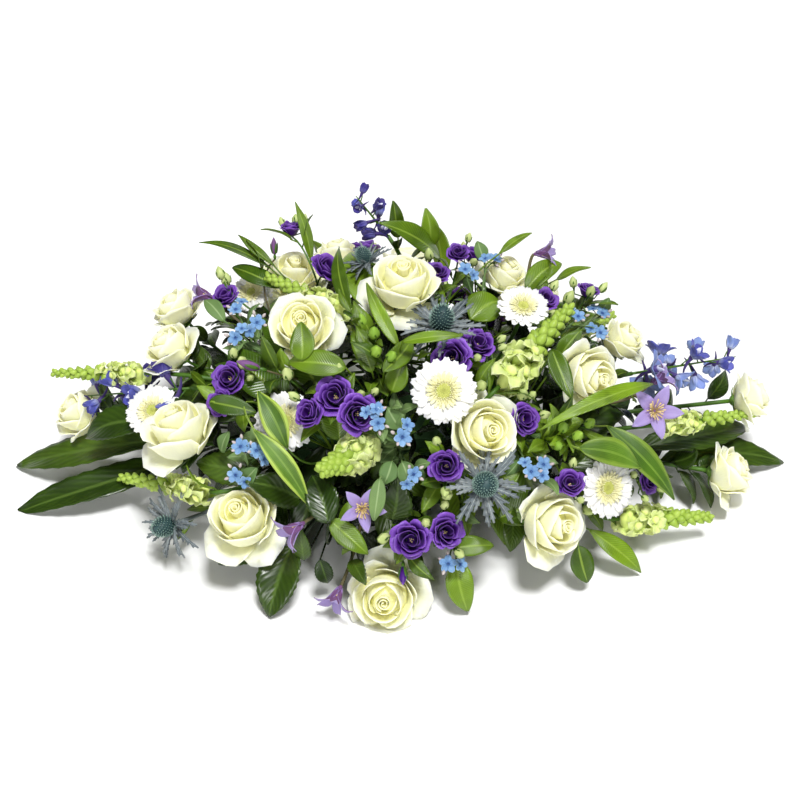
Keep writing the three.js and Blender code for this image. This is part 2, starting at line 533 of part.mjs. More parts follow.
    ['long', [498, 256, -12], [532, 231, -4], 12, [0, 0.7, 0.7], 0.06],
    ['leaf', [526, 290, -10], [562, 262, 0], 26, [0.2, 0.6, 0.8], 0.1],
    ['leaf', [556, 280, -8], [590, 266, 0], 14, [0.2, 0.7, 0.6], 0.06]], [
    ['leaf', [330, 330, -44], [270, 300, -30], 40, [-0.1, 0.5, 0.8], 0.08],
    ['leaf', [372, 310, -44], [352, 250, -34], 40, [0, 0.5, 0.8], 0.08],
    ['leaf', [440, 320, -44], [414, 262, -34], 40, [0, 0.5, 0.8], 0.08],
    ['leaf', [470, 320, -44], [500, 300, -30], 40, [0.2, 0.5, 0.8], 0.08]]],
  ['foliage_middle', GREEN, [], [
    ['long', [287, 448, 30], [257, 391, 42], 27, [-0.2, 0.1, 1], 0.06],
    ['long', [255, 430, 36], [310, 508, 44], 22, [0.1, 0, 1], 0.05],
    ['leaf', [212, 402, 24], [256, 412, 32], 22, [-0.1, 0.3, 0.95], 0.06],
    ['leaf', [330, 520, 26], [368, 554, 34], 24, [0.1, 0.1, 1], 0.08]], [
    ['leaf', [290, 400, -30], [232, 350, -20], 44, [-0.2, 0.4, 0.9], 0.08],
    ['leaf', [320, 390, -36], [262, 322, -28], 44, [-0.2, 0.4, 0.9], 0.08],
    ['leaf', [340, 440, -34], [330, 380, -22], 40, [0, 0.2, 0.95], 0.08]]],
  ['foliage_side', GREEN, [
    ['bud', [563, 428, 22], [0.1, 0.5, 0.85], 17],
    ['bud', [577, 436, 22], [0.4, 0.3, 0.85], 17],
    ['bud', [589, 424, 18], [0.5, 0.5, 0.7], 16],
    ['bud', [558, 446, 22], [-0.1, 0.1, 0.95], 15]], [
    ['long', [608, 426, 22], [672, 498, 22], 28, [0.2, 0.2, 0.95], 0.08],
    ['leaf', [578, 448, 18], [640, 466, 26], 30, [0.2, 0.3, 0.9], 0.08],
    ['long', [648, 384, 18], [540, 426, 30], 18, [0.1, 0.5, 0.9], 0.12],
    ['leaf', [552, 350, 40], [572, 398, 44], 22, [0.1, 0.1, 1], 0.06],
    ['leaf', [560, 360, 10], [580, 330, 16], 20, [0.2, 0.4, 0.9], 0.08]], [
    ['leaf', [500, 400, -34], [548, 336, -28], 44, [0.2, 0.4, 0.9], 0.08],
    ['leaf', [520, 450, -26], [580, 420, -8], 42, [0.2, 0.3, 0.9], 0.08],
    ['leaf', [470, 400, -34], [462, 330, -26], 42, [0, 0.4, 0.9], 0.08]]],
  ['foliage_front', DARK, [], [
    ['broad', [292, 546, 'z', 56], [268, 616, 'z', 8], 48, [-0.2, 0.3, 0.9], 0.08],
    ['leaf', [282, 545, 'z', 50], [217, 563, 'z', 22], 26, [-0.2, 0.4, 0.9], 0.06],
    ['leaf', [304, 560, 10], [300, 530, 20], 20, [-0.1, 0.2, 1], 0.06],
    ['leaf', [320, 560, 16], [328, 584, 16], 20, [0, 0, 1], 0.08],
    ['leaf', [352, 560, 14], [366, 580, 12], 18, [0.1, 0, 1], 0.08],
    ...skirt(4, [-0.95, -0.1], [0, -1])], [
    ['leaf', [300, 500, -16], [250, 480, 0], 38, [-0.2, 0.2, 0.95], 0.08],
    ['leaf', [330, 520, -10], [312, 474, 4], 36, [0, 0.1, 1], 0.08],
    ['leaf', [392, 520, -10], [398, 478, 6], 36, [0, 0.1, 1], 0.08]]],
  ['foliage_corner', GREEN, [], [
    ['leaf', [456, 560, 'z', 60], [468, 612, 'z', 10], 30, [0.1, 0.1, 1], 0.08],
    ['leaf', [452, 548, 18], [494, 545, 22], 22, [0.1, 0.3, 1], 0.08],
    ['leaf', [578, 546, 'z', 56], [588, 583, 'z', 18], 26, [0.1, 0.1, 1], 0.06],
    ['long', [590, 530, 'z', 56], [643, 572, 'z', 10], 24, [0.2, 0.3, 0.9], 0.06],
    ...skirt(4, [0.1, 0.95], [0, -1])], [
    ['leaf', [470, 500, -14], [520, 470, 4], 38, [0.2, 0.2, 0.95], 0.08],
    ['leaf', [500, 520, -10], [560, 500, 0], 36, [0.2, 0.2, 0.95], 0.08]]],
  ['foliage_back', GREEN, [], [
    ['broad', ['at', -95, 120, 60], ['at', -190, 232, 12], 44, ['to', -0.2, 0.3, 0.9], 0.1],
    ['broad', ['at', 90, 120, 60], ['at', 175, 236, 12], 44, ['to', 0.2, 0.3, 0.9], 0.1],
    ['long', ['at', -10, 130, 60], ['at', -20, 262, 16], 38, ['to', 0, 0.3, 0.9], 0.1],
    ['leaf', ['at', -170, 110, 110], ['at', -235, 150, 96], 30, ['to', -0.3, 0.4, 0.8], 0.1],
    ['leaf', ['at', 190, 90, 120], ['at', 245, 138, 118], 30, ['to', 0.3, 0.4, 0.8], 0.1],
    ['leaf', ['at', -80, 150, 150], ['at', -104, 190, 190], 28, ['to', -0.1, 0.8, 0.5], 0.1],
    ['leaf', ['at', 50, 160, 160], ['at', 40, 196, 210], 26, ['to', 0.1, 0.8, 0.5], 0.1],
    ...skirt(4, [-0.95, 0.95], [0, 1])], [
    ['leaf', ['at', -40, 96, 120], ['at', -120, 140, 176], 42, ['to', -0.2, 0.6, 0.8], 0.08],
    ['leaf', ['at', 30, 100, 130], ['at', 100, 150, 176], 42, ['to', 0.2, 0.6, 0.8], 0.08],
    ['leaf', ['at', -90, 90, 100], ['at', -190, 120, 120], 42, ['to', -0.3, 0.5, 0.8], 0.08],
    ['leaf', ['at', 90, 90, 100], ['at', 196, 124, 126], 42, ['to', 0.3, 0.5, 0.8], 0.08]]],
];

// Places every flower. Those that would share room move apart, mostly along the line of sight.
function arrange() {
  const plants = PLANTS.map(([name, colour, flowers, leaves, inner = []]) => (
    { name, colour, flowers, leaves, inner }));
  const blooms = [];
  plants.forEach((plant, owner) => {
    plant.blooms = plant.flowers.map(([form, place, face, size], i) => {
      const spike = form === 'snapdragon' || form === 'delphinium';
      const at = spot(place);
      const axis = spike ? unit(at, spot(face)) : facing(face);
      const length = spike ? at.distanceTo(spot(face)) : 0;
      const made = BLOOMS[form](size / 2, length);
      return { balls: [made.ball], ...made, at, axis, spin: 1.7 * i + 0.9 * owner, rank: size };
    });
    blooms.push(...plant.blooms);
  });
  const middle = (bloom, k) => plus(bloom.at, bloom.axis, bloom.balls[k][0]);
  for (let round = 0; round < 40; round++) {
    for (let i = 0; i < blooms.length; i++) {
      for (let j = i + 1; j < blooms.length; j++) {
        const [a, b] = [blooms[i], blooms[j]];
        for (let p = 0; p < a.balls.length; p++) {
          for (let q = 0; q < b.balls.length; q++) {
            const gap = middle(a, p).sub(middle(b, q));
            const wanted = a.balls[p][1] + b.balls[q][1];
            if (gap.length() >= wanted) continue;
            const near = gap.dot(toEye);
            const flat = plus(gap, toEye, -near).normalize();
            const push = flat.multiplyScalar(0.35).addScaledVector(toEye, near < 0 ? -0.8 : 0.8);
            const share = a.rank > 2 * b.rank ? 0.2 : b.rank > 2 * a.rank ? 0.8 : 0.5;
            a.at.addScaledVector(push, 1.6 * share);
            b.at.addScaledVector(push, -1.6 * (1 - share));
          }
        }
      }
    }
  }
  return plants;
}

// The shortest distance between two straight pieces of stem.
function spaceBetween([a, b], [c, d]) {
  const u = b.clone().sub(a);
  const v = d.clone().sub(c);
  const w = a.clone().sub(c);
  const [uu, uv, vv, uw, vw] = [u.dot(u), u.dot(v), v.dot(v), u.dot(w), v.dot(w)];
  const across = uu * vv - uv * uv;
  const clamp = (x) => max(0, min(1, x));
  let s = across > 1e-9 ? clamp((uv * vw - vv * uw) / across) : 0;
  const t = vv > 0 ? clamp((uv * s + vw) / vv) : 0;
  s = uu > 0 ? clamp((uv * t - uw) / uu) : 0;
  return plus(a, u, s).distanceTo(plus(c, v, t));
}

const bow = (from, control, to, steps) => Array.from({ length: steps + 1 }, (_, i) => {
  const t = i / steps;
  const point = from.clone().multiplyScalar((1 - t) ** 2);
  return point.addScaledVector(control, 2 * t * (1 - t)).addScaledVector(to, t * t);
});

// Runs every stem from the foam to what it carries, one plant after another. Each takes the first way that
// keeps clear of the stems before it, of the other plants' flowers and of the tray's rim.
function runStems(plants) {
  const laid = [];
  const rim = [
    [V(-TRAY.length / 2, -TRAY.width / 2, TRAY.height), V(TRAY.length / 2, -TRAY.width / 2, TRAY.height)],
    [V(-TRAY.length / 2, TRAY.width / 2, TRAY.height), V(TRAY.length / 2, TRAY.width / 2, TRAY.height)],
    [V(-TRAY.length / 2, -TRAY.width / 2, TRAY.height), V(-TRAY.length / 2, TRAY.width / 2, TRAY.height)],
    [V(TRAY.length / 2, -TRAY.width / 2, TRAY.height), V(TRAY.length / 2, TRAY.width / 2, TRAY.height)],
  ];
  const obstacles = plants.flatMap((plant, owner) => plant.blooms.flatMap((bloom) => {
    const matrix = standing(bloom.at, bloom.axis);
    return bloom.guards.flatMap(([height, out, r]) => (
      ring(out, height, 6).map((p) => ({ owner, at: p.applyMatrix4(matrix), r }))));
  }));
  const spare = (points, radius, owner) => {
    let least = Infinity;
    for (let i = 0; i + 1 < points.length; i++) {
      const piece = [points[i], points[i + 1]];
      for (const other of laid) {
        if (other.owner === owner) continue;
        least = min(least, spaceBetween(piece, other.piece) - radius - other.radius - STEM_SPACE);
      }
      for (const ball of obstacles) {
        if (ball.owner === owner) continue;
        least = min(least, spaceBetween(piece, [ball.at, ball.at]) - radius - ball.r);
      }
      for (const edge of rim) least = min(least, spaceBetween(piece, edge) - radius - 3);
      least = min(least, min(points[i].z, points[i + 1].z) - radius - 1);
    }
    return least;
  };
  // How far the middle line of a branch stays out of the foam block.
  const outsideFoam = (points) => {
    let least = Infinity;
    for (let i = 0; i + 1 < points.length; i++) {
      for (let t = 0.15; t <= 1; t += 0.17) {
        const p = points[i].clone().lerp(points[i + 1], t);
        least = min(least, max(abs(p.x) - FOAM.length / 2, abs(p.y) - FOAM.width / 2, p.z - FOAM.top));
      }
    }
    return least;
  };
  const choose = (ways, radius, owner, branch = false) => {
    let best = null;
    for (const way of ways) {
      let room = spare(way.points, radius, owner);
      if (branch) room = min(room, outsideFoam(way.points) - radius - 1.6);
      if (!best || room > best.room) best = { ...way, room };
      if (room >= 0) break;
    }
    for (let i = 0; i + 1 < best.points.length; i++) {
      laid.push({ owner, radius, piece: [best.points[i], best.points[i + 1]] });
    }
    return best;
  };
  // A leaf that would run through a flower, a leaf or a stem moves along the line of sight until it passes in
  // front or behind.
  const lift = ([, base, tip, width], owner) => {
    let best = null;
    for (const way of [0, 5, -5, 10, -10, 15, -15, 20, -20, 26, -26, 32, -32]) {
      for (const turn of [0, 10, -10, 20, -20]) {
        const ends = [plus(spot(base), toEye, way + turn), plus(spot(tip), toEye, way - turn)];
        let room = 0;
        for (const ball of obstacles) {
          if (ball.owner === owner) continue;
          room = min(room, spaceBetween(ends, [ball.at, ball.at]) - ball.r - 0.12 * width - 1.5);
        }
        for (const other of laid) {
          if (other.owner === owner) continue;
          room = min(room, spaceBetween(ends, other.piece) - 7);
        }
        room = min(room, min(ends[0].z, ends[1].z) - 5);
        if (!best || room > best.room + 0.5) best = { ends, room };
        if (room === 0) break;
      }
      if (best.room === 0) break;
    }
    laid.push({ owner, radius: 0.16 * width, piece: best.ends });
    return best.ends;
  };
  // The widest leaves have first choice.
  const leaves = plants.flatMap((plant, owner) => plant.leaves.map((leaf) => ({ leaf, owner })));
  leaves.sort((a, b) => b.leaf[3] - a.leaf[3]);
  for (const entry of leaves) entry.ends = lift(entry.leaf, entry.owner);
  const offsets = [];
  for (let k = 0; k < 60; k++) offsets.push(V(3.3 * sqrt(k) * cos(2.4 * k), 2.6 * sqrt(k) * sin(2.4 * k), 0));
  const [halfX, halfY] = [FOAM.length / 2 - 9, FOAM.width / 2 - 9];
  const within = (p) => V(max(-halfX, min(halfX, p.x)), max(-halfY, min(halfY, p.y)), p.z);
  const endOf = ([form, , , width, face, arch], [from, to]) => {
    const normal = facing(face);
    const blade = { base: from, tip: to, width, normal, arch, marks: OUTLINES[form] };
    const along = unit(from, to);
    const up = plus(normal, along, -normal.dot(along)).normalize();
    const axis = plus(along, up, 4 * arch).normalize();
    return { to: from, axis, radius: width > 30 ? 1.9 : 1.3, blade };
  };
  // A branch from the top of the plant's own stem, or a little below it, to a flower or a leaf.
  const branchTo = (end, fork, owner) => {
    const steps = end.blade || end.bloom.rank < 24 ? 1 : 2;
    const line = end.to.clone().sub(fork);
    const side = line.clone().cross(V(0, 0, 1)).normalize();
    const over = side.clone().cross(line).normalize();
    const branches = offsets.flatMap((offset, k) => [0.32, 0.5, 0.18].map((reach) => {
      const control = plus(end.to, end.axis, -reach * line.length());
      control.addScaledVector(side, offset.x * 2).addScaledVector(over, abs(offset.y) * 2.4);
      control.z = max(control.z, 14 + k % 3 * 6);
      return { points: bow(fork, control, end.to, k === 0 ? steps : 2) };
    }));
    return choose(branches, end.radius, owner, true).points;
  };
  plants.forEach((plant, owner) => {
    const ends = plant.blooms.map((bloom) => {
      const radius = bloom.rank > 50 ? 2.2 : 1.3;
      return { bloom, to: plus(bloom.at, bloom.axis, -bloom.joint), axis: bloom.axis, radius };
    });
    for (const leaf of plant.leaves) {
      ends.push(endOf(leaf, leaves.find((entry) => entry.leaf === leaf).ends));
    }
    const centre = V(0, 0, 0);
    ends.forEach((end) => centre.addScaledVector(end.to, 1 / ends.length));
    const root = rootOf(centre);
    plant.blades = [];
    plant.forks = [];
    if (ends.length === 1) {
      const [end] = ends;
      const ways = offsets.flatMap((offset, k) => [0.42, 0.25, 0.6].map((reach) => {
        const from = within(plus(root, offset));
        const control = plus(end.to, end.axis, -reach * from.distanceTo(end.to));
        control.z = max(control.z, 14 + k % 3 * 6);
        return { points: bow(from, control, end.to, 2) };
      }));
      const way = choose(ways, 2.7, owner);
      end.bloom.stem = { points: way.points, r0: 2.7, r1: 2.5, sides: end.bloom.sides };
      return;
    }
    const ways = offsets.flatMap((offset) => [0.06, 0.14, 0.24].map((share) => {
      const from = within(plus(root, offset));
      const clear = [0, 1, 2].map((k) => {
        const [here, line, half] = [[from.x, from.y, from.z][k], centre.clone().sub(from).toArray()[k],
          [FOAM.length / 2, FOAM.width / 2, FOAM.top][k] + 7];
        return line > 0 ? (half - here) / line : k < 2 && line < 0 ? (-half - here) / line : Infinity;
      });
      const reach = from.distanceTo(centre);
      const out = min(...clear) * reach + 6 + 3 * ends.length;
      return { points: [from, from.clone().lerp(centre, min(out / reach + share, 0.9))] };
    }));
    const way = choose(ways, 2.4, owner);
    const [from, top] = way.points;
    const up = unit(from, top);
    plant.root = { points: [from, plus(top, up, 1.5)], r0: 2.6, r1: 2.4, sides: 4, side: null };
    ends.forEach((end, n) => {
      const fork = plus(top, up, -3 * n);
      const points = branchTo(end, fork, owner);
      const { radius } = end;
      plant.forks.push(fork);
      if (end.blade) plant.blades.push({ ...end.blade, stalk: points, radius });
      else end.bloom.stem = { points, r0: radius, r1: radius * 0.8, sides: end.bloom.sides };
    });
  });
  // The inner leaves take what room is left.
  plants.forEach((plant, owner) => {
    plant.innerBlades = plant.inner.map((leaf, n) => {
      const end = endOf(leaf, lift(leaf, owner));
      const stalk = branchTo(end, plant.forks[n % plant.forks.length], owner);
      return { ...end.blade, stalk, radius: end.radius };
    });
  });
  return plants;
}

// Solids

function solidOf(geometry) {
  const bare = new THREE.BufferGeometry().setAttribute('position', geometry.getAttribute('position'));
  bare.setIndex(geometry.index);
  const merged = mergeVertices(bare, 1e-4);
  const solid = new wasm.Manifold(new wasm.Mesh({
    numProp: 3,
    vertProperties: new Float32Array(merged.getAttribute('position').array),
    triVerts: new Uint32Array(merged.index.array),
  }));
  if (solid.volume() < 0) throw new Error('a surface is inside out');
  return solid;
}

// A convex cover round some surfaces, standing off them by "clear".
function cover(geometries, clear) {
  const points = [];
  const middle = V(0, 0, 0);
  for (const geometry of geometries) {
    const position = geometry.getAttribute('position');
    for (let i = 0; i < position.count; i++) points.push(V(0, 0, 0).fromBufferAttribute(position, i));
  }
  points.forEach((p) => middle.addScaledVector(p, 1 / points.length));
  const moved = points.map((p) => plus(p, unit(middle, p), clear * 1.25));
  const hull = new ConvexGeometry(moved);
  hull.deleteAttribute('normal');
  return solidOf(mergeVertices(hull, 1e-4));
}

function joined(solids) {
  return solids.reduce((all, solid) => all.add(solid));
}

const boxOf = (solid) => {
  const { min: low, max: high } = solid.boundingBox();
  return new THREE.Box3(V(...low), V(...high));
};

function cutBy(solid, cutters) {
  let left = solid;
  let box = boxOf(left);
  for (const cutter of cutters) {
    if (!box.intersectsBox(cutter.box)) continue;
    left = left.subtract(cutter.solid);
    if (left.isEmpty()) return left;
    box = boxOf(left);
  }
  return left;
}

const cutter = (solid, owner) => ({ solid, owner, box: boxOf(solid) });
const others = (cutters, owner) => cutters.filter((c) => c.owner !== owner);

// The tray: a low oblong dish with round corners, open at the top.
function trayRing(inset, z) {
  const points = [];
  const taper = TRAY.taper * (1 - z / TRAY.height);
  const [x, y] = [TRAY.length / 2 - inset - taper, TRAY.width / 2 - inset - taper];
  const r = TRAY.corner - inset;
  for (const [sx, sy, turn] of [[1, 1, 0], [-1, 1, 0.5], [-1, -1, 1], [1, -1, 1.5]]) {
    for (let k = 0; k <= 3; k++) {
      const a = PI * (turn + k / 6);
      points.push(V(sx * (x - r) + r * cos(a), sy * (y - r) + r * sin(a), z));
    }
  }
  return points;
}

function tray() {
  const { height, wall, floor: base } = TRAY;
  return solidOf(loft([trayRing(0, 0), trayRing(0, height), trayRing(wall, height), trayRing(wall, base)]));
}

function foamBlock(grow = 0) {
  const [x, y, r] = [FOAM.length / 2 + grow, FOAM.width / 2 + grow, FOAM.corner];
  const outline = (z, cut) => [[1, 1], [-1, 1], [-1, -1], [1, -1]].flatMap(([sx, sy]) => {
    const first = V(sx * (x - cut), sy * (y - r - cut), z);
    const second = V(sx * (x - r - cut), sy * (y - cut), z);
    return sx * sy > 0 ? [first, second] : [second, first];
  });
  const low = TRAY.floor + SEAT_GAP - grow;
  return solidOf(loft([outline(low, 4), outline(TRAY.height, 0), outline(FOAM.top + grow, 0)]));
}

function build() {
  const plants = runStems(arrange());
  const stemCutters = [];
  const rootCutters = [];
  plants.forEach((plant, owner) => {
    for (const bloom of plant.blooms) {
      bloom.matrix = standing(bloom.at, bloom.axis, bloom.spin);
      bloom.stem.side = V(1, 0, 0).transformDirection(bloom.matrix);
    }
    const around = ({ points, r0, r1, sides, side }, grow) => (
      cutter(solidOf(loft(stemRings(points, r0, r1, sides, side, grow))), owner));
    const stems = plant.blooms.map((bloom) => bloom.stem);
    if (plant.root) stems.unshift(plant.root);
    stemCutters.push(...stems.map((stem) => around(stem, CLEAR)));
    rootCutters.push(around(stems[0], SEAT_GAP));
  });
  const trayCover = cover([loft([trayRing(0, 0), trayRing(0, TRAY.height)])], 1);
  const fixed = [cutter(foamBlock(1), -1), cutter(trayCover, -1)];
  const floorCutter = cutter(solidOf(loft([-100, FLOOR_SPACE].map((z) => (
    [V(-900, -900, z), V(900, -900, z), V(900, 900, z), V(-900, 900, z)])))), -2);

  // Flowers, from the largest to the smallest
  const queue = plants.flatMap((plant, owner) => plant.blooms.map((bloom) => ({ bloom, owner })));
  queue.sort((a, b) => b.bloom.rank - a.bloom.rank);
  const covers = [];
  for (const { bloom, owner } of queue) {
    const rings = bloom.rings.map((points) => points.map((p) => p.clone().applyMatrix4(bloom.matrix)));
    const parts = (bloom.parts || []).map((part) => part.applyMatrix4(bloom.matrix));
    const cutters = [...others(stemCutters, owner), ...others(covers, owner), floorCutter];
    const { points, r0, r1, sides, side } = bloom.stem;
    const stem = stemRings(points, r0, r1, sides, side);
    bloom.solid = cutBy(joined([loft([...stem, ...rings]), ...parts].map(solidOf)), cutters);
    covers.push(cutter(cover([loft([stem[stem.length - 1], ...rings])], CLEAR), owner));
    if (parts.length) covers.push(cutter(cover(parts, CLEAR), owner));
  }

  // Leaves
  const bladeCutters = [];
  const bladeSolids = (blades, owner) => blades.map((blade) => {
    const cutters = [...others([...stemCutters, ...covers, ...bladeCutters], owner), ...fixed, floorCutter];
    const left = cutBy(solidOf(leafSolid(blade)), cutters);
    bladeCutters.push(cutter(solidOf(leafSolid(blade, CLEAR)), owner));
    return left;
  });
  plants.forEach((plant, owner) => {
    plant.leafSolids = bladeSolids(plant.blades, owner);
  });
  plants.forEach((plant, owner) => {
    plant.leafSolids.push(...bladeSolids(plant.innerBlades, owner));
  });

  const group = new THREE.Group();
  const addMesh = (name, solid, colour, roughness) => {
    const material = new THREE.MeshStandardMaterial({ color: colour, roughness, metalness: 0 });
    const mesh = new THREE.Mesh(geometryOf(solid), material);
    mesh.name = name;
    group.add(mesh);
  };
  addMesh('tray', tray(), 0x2f5a34, 0.5);
  let foam = foamBlock();
  for (const hole of rootCutters) foam = foam.subtract(hole.solid);
  addMesh('foam', largest(foam), 0x3f6b3a, 0.95);
  plants.forEach((plant) => {
    const pieces = [...plant.blooms.map((bloom) => bloom.solid), ...plant.leafSolids];
    if (plant.root) {
      const { points, r0, r1, sides, side } = plant.root;
      pieces.push(solidOf(loft(stemRings(points, r0, r1, sides, side))));
    }
    const whole = joined(pieces.filter((piece) => !piece.isEmpty()));
    addMesh(plant.name, largest(whole), plant.colour, 0.6);
  });
  return group;
}

function largest(solid) {
  const bodies = solid.decompose();
  return bodies.reduce((best, body) => (body.volume() > best.volume() ? body : best));
}

function geometryOf(solid) {
  const mesh = solid.getMesh();
  const position = new Float32Array(mesh.numVert * 3);
  for (let i = 0; i < mesh.numVert; i++) {
    position.set(mesh.vertProperties.subarray(i * mesh.numProp, i * mesh.numProp + 3), i * 3);
  }
  const geometry = new THREE.BufferGeometry();
  geometry.setAttribute('position', new THREE.BufferAttribute(position, 3));
  geometry.setIndex(new THREE.BufferAttribute(new Uint32Array(mesh.triVerts), 1));
  return geometry;
}

const arrangement = build();

export default arrangement;
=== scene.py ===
"""Looks of a long oval flower arrangement: cream roses, white mini gerberas, violet lisianthus, green-white
snapdragons, blue delphinium and tweedia, lilac clematis, sea holly and mixed leaves in a block of wet foam.

Places are read off one view of the arrangement, and worked out here as they are for the solids: flowers that
would share room move apart, and every stem takes the first clear way from the foam. Lengths in the plant
table and in the forms are millimetres; the pieces are made in metres.
"""
from math import cos, inf, pi, radians, sin, sqrt

import bpy
import numpy as np
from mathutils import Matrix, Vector


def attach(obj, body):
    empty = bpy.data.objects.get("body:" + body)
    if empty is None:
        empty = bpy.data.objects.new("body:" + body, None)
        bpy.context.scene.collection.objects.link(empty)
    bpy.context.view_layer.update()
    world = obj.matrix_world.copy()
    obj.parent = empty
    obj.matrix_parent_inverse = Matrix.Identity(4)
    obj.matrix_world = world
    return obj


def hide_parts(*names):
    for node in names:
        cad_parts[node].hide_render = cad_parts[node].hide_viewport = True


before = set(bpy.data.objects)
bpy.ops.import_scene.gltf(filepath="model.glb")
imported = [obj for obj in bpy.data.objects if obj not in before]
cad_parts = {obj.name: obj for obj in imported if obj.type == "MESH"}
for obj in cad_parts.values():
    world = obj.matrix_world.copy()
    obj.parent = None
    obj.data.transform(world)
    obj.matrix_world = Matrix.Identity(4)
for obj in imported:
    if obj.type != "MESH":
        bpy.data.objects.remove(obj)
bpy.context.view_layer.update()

MM = 0.001

# Driving dimensions, as in the solids
TRAY_LENGTH, TRAY_WIDTH, TRAY_HEIGHT = 276, 146, 38
FOAM_LENGTH, FOAM_WIDTH, FOAM_TOP = 246, 112, 90
STEM_SPACE = 0.9
LEAF_FOLD = 0.22
MOUND_HALF_LENGTH, MOUND_HALF_WIDTH, MOUND_HEIGHT = 390, 226, 262

# The turn from one petal, floret or leaf to the next, and a closer value for heads of many small florets
TURN, FINE_TURN = 2.4, 2.39996

# The view that the places are read off: 800 columns by 800 rows, from 40 degrees above the table
ELEVATION = radians(40)
DISTANCE = 2000
FOCAL = 1754
MIDDLE = 400
AIM_HEIGHT = 100
SEARCH_DEPTH, SEARCH_STEP = 450, 2
TO_EYE = np.array([0, -cos(ELEVATION), sin(ELEVATION)])
VIEW_UP = np.array([0, sin(ELEVATION), cos(ELEVATION)])
EYE = np.array([0, 0, AIM_HEIGHT]) + TO_EYE * DISTANCE
UP = np.array([0.0, 0.0, 1.0])


def unit(v):
    return v / np.linalg.norm(v)


def about(angle, out, height):
    """A point at an angle about +Z, so far out and so high."""
    return np.array([out * cos(angle), out * sin(angle), height])


# Places

def view_ray(column, row):
    return unit(-TO_EYE * FOCAL + np.array([column - MIDDLE, 0, 0]) + VIEW_UP * (MIDDLE - row))


def spot(place):
    """A column, a row and a lift towards the eye from the mound, or a column, a row, "z" and a height, or
    "at" and three coordinates."""
    if place[0] == "at":
        return np.array(place[1:], float)
    column, row, lift = place[:3]
    ray = view_ray(column, row)
    if lift == "z":
        return EYE + ray * ((place[3] - EYE[2]) / ray[2])
    depths = np.arange(DISTANCE - SEARCH_DEPTH, DISTANCE + SEARCH_DEPTH, SEARCH_STEP)
    along = EYE + ray * depths[:, None]
    level = (np.abs(along[:, 0]) / MOUND_HALF_LENGTH) ** 1.3 + (along[:, 1] / MOUND_HALF_WIDTH) ** 2
    level += (np.maximum(along[:, 2], 0) / MOUND_HEIGHT) ** 2
    inside = np.nonzero(level <= 1)[0]
    best = inside[0] if len(inside) else int(np.argmin(level))
    return along[best] - ray * lift


def facing(face):
    """Rightwards, upwards and towards the eye in that view, or "to" and three coordinates."""
    if face[0] == "to":
        return unit(np.array(face[1:], float))
    return unit(np.array([face[0], 0, 0]) + VIEW_UP * face[1] + TO_EYE * face[2])


def root_of(p):
    """Where in the foam a stem stands: below what it carries, but drawn in towards the middle."""
    x = np.clip(p[0] * 0.32, -(FOAM_LENGTH / 2 - 18), FOAM_LENGTH / 2 - 18)
    y = np.clip(p[1] * 0.24, -(FOAM_WIDTH / 2 - 16), FOAM_WIDTH / 2 - 16)
    return np.array([x, y, 52 + 0.03 * p[2]])


def standing(origin, axis, spin=0.0):
    """A turn that takes +Z to the axis, after a spin about +Z, and a move of the origin."""
    axis = unit(axis)
    cross = np.cross(UP, axis)
    k = np.array([[0, -cross[2], cross[1]], [cross[2], 0, -cross[0]], [-cross[1], cross[0], 0]])
    turn = np.eye(3) + k + k @ k / (1 + axis[2])
    around = np.array([[cos(spin), -sin(spin), 0], [sin(spin), cos(spin), 0], [0, 0, 1]])
    return turn @ around, np.asarray(origin, float)


# What each form needs of its neighbours, in half sizes: how far behind the origin its stem ends, the balls
# [height, radius] that keep other flowers away and those [height, distance out, radius] that stems keep
# clear of

def disc(height):
    return [[height, 0, 0.42], [height, 0.62, 0.4]]


ROOMS = {
    "rose": (0.64, [[0, 0.86]], [[0.1, 0, 0.95]]),
    "lisianthus": (0.7, [[0, 0.84]], [[0.08, 0, 0.96]]),
    "gerbera": (0.34, [[0, 0.72]], disc(0)),
    "open": (0.1, [[0.1, 0.4]], disc(0.15)),
    "bell": (0.1, [[0.1, 0.4]], [[0.3, 0, 0.4], [0.7, 0, 0.44]]),
    "sea_holly": (0.14, [[0.15, 0.5]], disc(0.2)),
    "tweedia": (0.24, [[0, 0.6]], [[0.12, 0, 1]]),
    "bud": (0.9, [[0, 0.7]], [[-0.1, 0, 0.6], [0.5, 0, 0.6]]),
    "slim_bud": (0.9, [[0, 0.7]], [[-0.1, 0, 0.4], [0.5, 0, 0.4]]),
}
# For spikes: the share of the length by which the stem ends behind the origin, their balls [share of the
# length, radius] and the shares of the length where stems keep clear of them
SPIKES = {
    "snapdragon": (0.06, [[0.15, 0.8], [0.45, 0.5], [0.75, 0.4]], [0, 0.13, 0.26, 0.4, 0.55, 0.72, 0.92]),
    "delphinium": (0, [[0.2, 0.6], [0.5, 0.5], [0.8, 0.4]], [0.05, 0.2, 0.35, 0.5, 0.65, 0.8, 0.95]),
}


def room_of(form, R, length):
    if form in ROOMS:
        joint, balls, guards = ROOMS[form]
        return joint * R, (np.array(balls) * R).tolist(), (np.array(guards) * R).tolist()
    joint, balls, shares = SPIKES[form]
    if form == "snapdragon":
        guards = [[s * length, 0, R * (0.9 if s < 0.1 else 1.35 - 1.15 * s)] for s in shares]
    else:
        guards = [[s * length, 0, 1.4 * R * (1 - 0.4 * s)] for s in shares]
    return joint * length, [[s * length, r * R] for s, r in balls], guards


